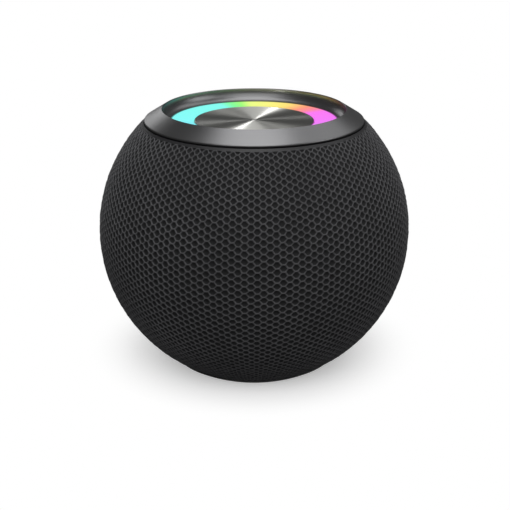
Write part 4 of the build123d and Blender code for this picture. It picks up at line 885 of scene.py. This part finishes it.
    def trim(self, mesh: bpy.types.Mesh) -> None:
        """Cut the net straight at both edges, open it for the panel and turn its edges in.

        Args:
            mesh: the whole net.
        """
        work = bmesh.new()
        work.from_mesh(mesh)
        for latitude, side in ((self.low, -1), (self.top, 1)):
            bmesh.ops.bisect_plane(
                work,
                geom=work.verts[:] + work.edges[:] + work.faces[:],
                plane_co=(0.0, 0.0, self.height(latitude)),
                plane_no=(0.0, 0.0, side),
                clear_outer=True,
            )
        hidden = [f for f in work.faces if self.under_panel(f.calc_center_median())]
        bmesh.ops.delete(work, geom=hidden, context="FACES")
        bmesh.ops.recalc_face_normals(work, faces=work.faces[:])
        rim = [e for e in work.edges if e.is_boundary]
        turned = bmesh.ops.extrude_edge_only(work, edges=rim)
        centre = Vector((0.0, 0.0, self.centre_z))
        for vert in (v for v in turned["geom"] if isinstance(v, bmesh.types.BMVert)):
            vert.co -= (vert.co - centre).normalized() * self.hem
        bmesh.ops.recalc_face_normals(work, faces=work.faces[:])
        work.to_mesh(mesh)
        work.free()

    def build(self, material: bpy.types.Material) -> bpy.types.Object:
        """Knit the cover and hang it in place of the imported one.

        Args:
            material: the knit finish.

        Returns:
            The cover.
        """
        cover = self.net(material)
        self.trim(cover.data)
        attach(cover, "housing")
        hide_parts("knit_cover")
        return cover


# ------------------------------------------------------------------ marks on the keys
@dataclass
class KeyMarks:
    """Raised function marks on the rear keys: mute, minus, plus and power.

    Places are measured from a key's middle, X to the right as the key is read.
    """

    face_r: float
    centre_z: float
    proud: float = 0.05 * MM
    stroke: float = 0.45 * MM
    reach: float = 1.25 * MM
    arm_share: float = 0.8
    plus_gap: float = 0.22 * MM
    power_span: Point = (128.0, 412.0)
    power_low_share: float = 0.2
    microphone_half: float = 0.17 * MM
    microphone_low: float = 0.05 * MM
    cup_r: float = 0.90 * MM
    cup_span: Point = (196.0, 344.0)
    cup_steps: int = 14
    stem: Point = (-1.12 * MM, -1.25 * MM)

    def bar(self, start: Point, end: Point) -> list[Point]:
        """Outline a straight stroke.

        Args:
            start: middle of its first end.
            end: middle of its last end.

        Returns:
            Its four corners.
        """
        along = Vector((end[0] - start[0], end[1] - start[1])).normalized() * self.stroke / 2
        side = Vector((-along.y, along.x))
        a, b = Vector(start), Vector(end)
        return [tuple(p) for p in (a - along - side, b + along - side, b + along + side, a - along + side)]

    def arc(self, radius: float, span: Point, steps: int = 20) -> list[list[Point]]:
        """Outline a round stroke.

        Args:
            radius: radius of its middle line.
            span: its first and its last angle, degrees.
            steps: how many quads it has.

        Returns:
            One quad for each step.
        """
        inner, outer = radius - self.stroke / 2, radius + self.stroke / 2
        first, last = span
        quads = []
        for i in range(steps):
            a, b = (math.radians(first + (last - first) * (i + k) / steps) for k in (0, 1))
            corners = ((inner, a), (outer, a), (outer, b), (inner, b))
            quads.append([(r * math.cos(turn), r * math.sin(turn)) for r, turn in corners])
        return quads

    def shapes(self) -> dict[str, list[list[Point]]]:
        """Lay out the mark of each key.

        Returns:
            The mark's quads by the key's name.
        """
        arm = self.reach * self.arm_share
        gap = self.stroke / 2 + self.plus_gap
        level = self.bar((-arm, 0), (arm, 0))
        sides = (-self.microphone_half, self.microphone_half)
        return {
            "minus_key": [level],
            "plus_key": [level, self.bar((0, gap), (0, arm)), self.bar((0, -arm), (0, -gap))],
            "power_key": [
                *self.arc(self.reach, self.power_span),
                self.bar((0, self.reach * self.power_low_share), (0, self.reach)),
            ],
            "mute_key": [
                *(self.bar((x, self.microphone_low), (x, arm)) for x in sides),
                *self.arc(self.cup_r, self.cup_span, self.cup_steps),
                self.bar((0, self.stem[0]), (0, self.stem[1])),
            ],
        }

    def raise_quad(self, work: bmesh.types.BMesh, quad: list[Point], middle: Vector) -> None:
        """Add a closed block over a quad, half sunk in the key's curved face.

        Args:
            work: the mark's mesh.
            quad: the block's outline.
            middle: the key's middle.
        """
        rings = []
        for lift in (-self.proud, self.proud):
            r = self.face_r + lift
            ring = []
            for u, v in quad:
                x, z = middle.x - u, middle.z + v
                y = math.sqrt(r * r - x * x - (z - self.centre_z) ** 2)
                ring.append(work.verts.new((x, y, z)))
            rings.append(ring)
        low, high = rings
        work.faces.new(low)
        work.faces.new(high)
        for i in range(len(quad)):
            k = (i + 1) % len(quad)
            work.faces.new((low[i], low[k], high[k], high[i]))

    def build(self, material: bpy.types.Material) -> list[bpy.types.Object]:
        """Make one mark for each key.

        Args:
            material: the mark's finish.

        Returns:
            The marks.
        """
        made = []
        for key, quads in self.shapes().items():
            low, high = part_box(key)
            work = bmesh.new()
            for quad in quads:
                self.raise_quad(work, quad, (low + high) / 2)
            bmesh.ops.recalc_face_normals(work, faces=work.faces[:])
            mesh = bpy.data.meshes.new(f"{key}_mark")
            work.to_mesh(mesh)
            work.free()
            mesh.materials.append(material)
            mark = new_object(f"{key}_mark", mesh)
            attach(mark, key)
            made.append(mark)
        return made


# ------------------------------------------------------------------ soft pieces, copied whole or in sectors
@dataclass(frozen=True)
class BendingRing:
    """A soft ring: the housing holds its outer edge and a moving body carries its inner edge.
    """

    node: str
    sector_name: str
    slot: str
    carrier: str
    faces_sideways: bool = False
    held_r: float | None = None
    carried_r: float | None = None

    def plane(self) -> tuple[Vector, Vector]:
        """Two directions in the ring's plane."""
        x, y, z = (Vector(row) for row in ((1.0, 0.0, 0.0), (0.0, 1.0, 0.0), (0.0, 0.0, 1.0)))
        return (y, z) if self.faces_sideways else (x, y)


@dataclass
class YieldingPieces:
    """Copies of the soft inner pieces: the spider and the three surrounds in closed sectors, and the button's
    return pad.
    """

    sectors: int = 12
    press: float = 0.5 * MM
    merge: float = 0.001 * MM
    rings: tuple[BendingRing, ...] = (
        BendingRing(
            "driver_spider", "spider_sector", "spider_cloth", "driver_diaphragm",
            held_r=12.6 * MM, carried_r=11.3 * MM,
        ),
        BendingRing("driver_surround", "driver_surround_sector", "membrane", "driver_diaphragm"),
        BendingRing(
            "left_radiator_surround", "left_surround_sector", "membrane", "left_radiator",
            faces_sideways=True,
        ),
        BendingRing(
            "right_radiator_surround", "right_surround_sector", "membrane", "right_radiator",
            faces_sideways=True,
        ),
    )

    def copy(self, node: str, name: str, material: bpy.types.Material) -> bpy.types.Object:
        """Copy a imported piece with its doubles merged.

        Args:
            node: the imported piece.
            name: the copy's name.
            material: the copy's finish.

        Returns:
            The copy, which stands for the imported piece.
        """
        work = bmesh.new()
        work.from_mesh(frame["nodes"][node].data)
        bmesh.ops.remove_doubles(work, verts=work.verts[:], dist=self.merge)
        bmesh.ops.recalc_face_normals(work, faces=work.faces[:])
        mesh = bpy.data.meshes.new(name)
        work.to_mesh(mesh)
        work.free()
        mesh.materials.append(material)
        made = new_object(name, mesh)
        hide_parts(node)
        return made

    def cut_sector(
        self, mesh: bpy.types.Mesh, middle: float, centre: Vector, across: Vector, up: Vector
    ) -> None:
        """Keep one closed sector of a ring-shaped mesh.

        Args:
            mesh: the whole ring.
            middle: direction of the sector's middle, radians from across towards up.
            centre: the ring's centre.
            across: first direction in the ring's plane.
            up: second direction in the ring's plane.
        """
        work = bmesh.new()
        work.from_mesh(mesh)
        half = math.pi / self.sectors
        for side in (-1, 1):
            turn = middle + side * half
            cut = bmesh.ops.bisect_plane(
                work,
                geom=work.verts[:] + work.edges[:] + work.faces[:],
                plane_co=centre,
                plane_no=side * (up * math.cos(turn) - across * math.sin(turn)),
                clear_outer=True,
            )
            rim = [e for e in cut["geom_cut"] if isinstance(e, bmesh.types.BMEdge)]
            bmesh.ops.edgeloop_fill(work, edges=rim)
        bmesh.ops.recalc_face_normals(work, faces=work.faces[:])
        work.to_mesh(mesh)
        work.free()

    def build_ring(self, ring: BendingRing, material: bpy.types.Material) -> list[bpy.types.Object]:
        """Make a ring in closed sectors.

        Args:
            ring: the ring.
            material: its finish.

        Returns:
            The sectors.
        """
        low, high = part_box(ring.node)
        centre = Vector((0.0, 0.0, (low.z + high.z) / 2))
        across, up = ring.plane()
        made = []
        for i in range(self.sectors):
            middle = math.tau * i / self.sectors
            sector = self.copy(ring.node, f"{ring.sector_name}_{i + 1}", material)
            self.cut_sector(sector.data, middle, centre, across, up)
            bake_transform(sector)
            made.append(sector)
        return made

    def build_pad(self, material: bpy.types.Material) -> bpy.types.Object:
        """Make the return pad, a copy of the imported one hung on the housing.

        Args:
            material: the silicone.

        Returns:
            The pad.
        """
        pad = self.copy("return_pad", "return_pad_soft", material)
        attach(pad, "housing")
        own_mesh(pad)
        return pad


# ------------------------------------------------------------------ studio
@dataclass(frozen=True)
class SoftLamp:
    """A rectangular lamp that looks at the speaker."""

    name: str
    azimuth: float
    elevation: float
    distance: float
    size: tuple[float, float]
    power: float
    in_reflections: bool = True
    lights_surfaces: bool = True
    only: str = ""

    def build(self, target: Vector) -> bpy.types.Object:
        """Hang the lamp.

        Args:
            target: the point that it looks at.

        Returns:
            The lamp's object.
        """
        data = bpy.data.lights.new(self.name, "AREA")
        data.shape = "RECTANGLE"
        data.size, data.size_y = self.size
        data.energy = self.power
        lamp = bpy.data.objects.new(self.name, data)
        lamp.visible_camera = False
        lamp.visible_glossy = self.in_reflections
        lamp.visible_diffuse = self.lights_surfaces
        if self.only:
            receivers = bpy.data.collections.new(f"lit_by_{self.name}")
            receivers.objects.link(frame["nodes"][self.only])
            lamp.light_linking.receiver_collection = receivers
        bpy.context.scene.collection.objects.link(lamp)
        turn, rise = math.radians(self.azimuth), math.radians(self.elevation)
        away = Vector((math.sin(turn) * math.cos(rise), -math.cos(turn) * math.cos(rise), math.sin(rise)))
        lamp.location = target + away * self.distance
        lamp.rotation_euler = (-away).to_track_quat("-Z", "Y").to_euler()
        return lamp


@dataclass
class Studio:
    """White room: floor, world, lamps and camera.

    The white is for the camera's rays only: reflections see the lamps and a dim room.
    """

    target: Vector
    camera_elevation: float = 18.5
    camera_distance: float = 0.390
    camera_lens: float = 84.4
    camera_shift: tuple[float, float] = (0.0016, -0.055)
    camera_near: float = 0.01
    floor_half: float = 3.0
    floor_tone: float = 0.8
    floor_lift: float = 0.37
    floor_bounce: float = 0.09
    shadow_reach: tuple[float, float] = (0.026, 0.058)
    shadow_back: float = 0.012
    ambient: float = 0.10
    lamps: tuple[SoftLamp, ...] = (
        SoftLamp("overhead", 0.0, 89.0, 0.8, (0.5, 0.7), 2.2),
        SoftLamp("front", 0.0, 35.0, 1.2, (1.0, 0.8), 6.8, in_reflections=False),
        SoftLamp("front_sheen", 0.0, 45.0, 1.2, (1.4, 0.9), 4.4, lights_surfaces=False),
        SoftLamp("right_sheen", 80.0, 32.0, 1.0, (0.6, 0.6), 1.6, lights_surfaces=False),
        SoftLamp("right_high", 135.0, 48.0, 1.0, (0.5, 0.5), 0.7),
        SoftLamp("left_low", -157.0, 17.0, 1.0, (0.3, 0.3), 0.4),
        SoftLamp("back_fill", 180.0, 30.0, 1.2, (1.0, 0.8), 2.4, in_reflections=False),
        SoftLamp("spark", -52.3, 45.7, 1.0, (0.05, 0.05), 12.0, lights_surfaces=False, only="button_cap"),
    )

    def build_floor(self) -> bpy.types.Object:
        """Lay the floor: white to the camera but for the soft shadow, and dim as a lamp.

        Returns:
            The floor.
        """
        material = bpy.data.materials.new("studio_floor")
        material.use_nodes = True
        material.node_tree.nodes.clear()
        kit = NodeKit(material.node_tree)
        middle = (0.0, self.shadow_back, 0.0)
        away = kit.add("ShaderNodeVectorMath", operation="DISTANCE", in_0=kit.place(), in_1=middle)
        far = kit.ease(away.outputs["Value"], *self.shadow_reach)
        lit = kit.add("ShaderNodeBsdfDiffuse", in_Color=[self.floor_tone] * 3)
        lift = kit.add("ShaderNodeEmission", in_Strength=self.floor_lift)
        near = kit.add("ShaderNodeAddShader", in_0=lit.outputs[0], in_1=lift.outputs[0])
        white = kit.add("ShaderNodeEmission", in_Strength=1.0)
        shown = kit.mix_shaders(far, near.outputs[0], white.outputs[0])
        # clear from below, so that the foot and the base can be looked at
        below = kit.add("ShaderNodeNewGeometry").outputs["Backfacing"]
        clear = kit.mix_shaders(below, shown, kit.add("ShaderNodeBsdfTransparent").outputs[0])
        dim = kit.add("ShaderNodeBsdfDiffuse", in_Color=[self.floor_bounce] * 3)
        seen = kit.add("ShaderNodeLightPath").outputs["Is Camera Ray"]
        kit.add("ShaderNodeOutputMaterial", in_0=kit.mix_shaders(seen, dim.outputs[0], clear))
        mesh = bpy.data.meshes.new("floor")
        half = self.floor_half
        corners = [(-half, -half, 0), (half, -half, 0), (half, half, 0), (-half, half, 0)]
        mesh.from_pydata(corners, [], [(0, 1, 2, 3)])
        mesh.materials.append(material)
        floor = new_object("floor", mesh)
        return floor

    def build_world(self) -> None:
        """Make it white all round for the camera, and dim for everything else."""
        world = bpy.data.worlds.new("white_room")
        bpy.context.scene.world = world
        world.use_nodes = True
        world.node_tree.nodes.clear()
        kit = NodeKit(world.node_tree)
        white = (1.0, 1.0, 1.0)
        shown = kit.add("ShaderNodeBackground", in_Color=white, in_Strength=1.0)
        lit = kit.add("ShaderNodeBackground", in_Color=white, in_Strength=self.ambient)
        seen = kit.add("ShaderNodeLightPath").outputs["Is Camera Ray"]
        kit.add("ShaderNodeOutputWorld", in_0=kit.mix_shaders(seen, lit.outputs[0], shown.outputs[0]))

    def build_camera(self) -> bpy.types.Object:
        """Set the camera in front, a little above the speaker.

        Returns:
            The camera.
        """
        data = bpy.data.cameras.new("camera")
        data.lens = self.camera_lens
        data.shift_x, data.shift_y = self.camera_shift
        data.clip_start = self.camera_near
        camera = bpy.data.objects.new("camera", data)
        bpy.context.scene.collection.objects.link(camera)
        rise = math.radians(self.camera_elevation)
        away = Vector((0.0, -math.cos(rise), math.sin(rise)))
        camera.location = self.target + away * self.camera_distance
        camera.rotation_euler = (-away).to_track_quat("-Z", "Y").to_euler()
        bpy.context.scene.camera = camera
        return camera

    def build(self) -> None:
        """Set up the whole room."""
        self.build_floor()
        self.build_world()
        for lamp in self.lamps:
            lamp.build(self.target)
        self.build_camera()
        bpy.context.scene.view_settings.view_transform = "Standard"


# ------------------------------------------------------------------ the speaker
NODE_SLOTS: dict[str, tuple[str, ...]] = {
    "metal_trim": ("trim_ring",),
    "button_metal": ("button_cap",),
    "opal": ("light_diffuser",),
    "white_plastic": ("light_reflector",),
    "dark_plastic": (
        "top_deck", "base_shell", "port_panel", "grille_shell", "acoustic_chamber", "chamber_lid",
        "waveguide", "button_carrier", "left_radiator_frame", "right_radiator_frame",
    ),
    "key_rubber": ("mute_key", "minus_key", "plus_key", "power_key"),
    "foot_rubber": ("rubber_foot",),
    "silicone": ("return_pad", "switch_plunger"),
    "membrane": ("driver_surround", "left_radiator_surround", "right_radiator_surround"),
    "paper_cone": ("driver_cone", "dust_cap"),
    "spider_cloth": ("driver_spider",),
    "coil_copper": ("voice_coil",),
    "steel": (
        "driver_basket", "driver_top_plate", "driver_yoke", "left_radiator_plate", "right_radiator_plate",
        "deck_screws", "lid_screws", "board_screws", "base_screws", "waveguide_screws", "driver_screws",
        "light_board_screws", "key_board_screws", "board_shield", "usb_c_socket",
    ),
    "magnet_ferrite": ("driver_magnet",),
    "board_green": ("light_board", "main_board", "key_board"),
    "chip_black": ("board_parts", "microphones", "tact_switch", "key_switches"),
    "chip_white": ("light_chips",),
    "battery_wrap": ("battery_cell",),
    "foam": ("battery_pad", "chamber_gasket"),
    "flex_film": ("ribbon_cable", "key_flex"),
}


@dataclass
class Speaker:
    """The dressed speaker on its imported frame."""

    nodes: dict[str, bpy.types.Object]
    finishes: dict[str, bpy.types.Material]
    keys_proud: float = 0.5 * MM

    def dress(self) -> None:
        """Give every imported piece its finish."""
        for slot, names in NODE_SLOTS.items():
            for name in names:
                dress_node(self.nodes[name], self.finishes[slot])
                log.info("%s: %s", name, slot)
        dressed = {name for names in NODE_SLOTS.values() for name in names}
        undressed = set(self.nodes) - dressed - {"knit_cover"}
        if undressed:
            raise ValueError(f"no finish for {sorted(undressed)}")

    def build(self) -> None:
        """Dress the frame, then add the knit, the marks and the copies of the soft pieces."""
        self.dress()
        low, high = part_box("knit_cover")
        ball_r = (high.x - low.x) / 2
        cover = KnitCover(ball_r=ball_r, centre_z=BALL_CENTRE_Z).build(self.finishes["knit"])
        log.info("%s: %d faces", cover.name, len(cover.data.polygons))
        key_face_r = ball_r + self.keys_proud
        for mark in KeyMarks(key_face_r, BALL_CENTRE_Z).build(self.finishes["mark_white"]):
            log.info("%s: %d faces", mark.name, len(mark.data.polygons))
        soft = YieldingPieces()
        for ring in soft.rings:
            sectors = soft.build_ring(ring, self.finishes[ring.slot])
            log.info("%s: %d sectors", ring.node, len(sectors))
        log.info("return pad: %s", soft.build_pad(self.finishes["silicone"]).name)


def main() -> None:
    """Dress the speaker and set the studio."""
    logging.basicConfig(level=logging.INFO)
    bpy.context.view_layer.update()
    finishes = make_finishes(SharedEffects())
    Speaker(frame["nodes"], finishes).build()
    Studio(target=Vector((0.0, 0.0, BALL_CENTRE_Z))).build()


if __name__ == "__main__":
    main()
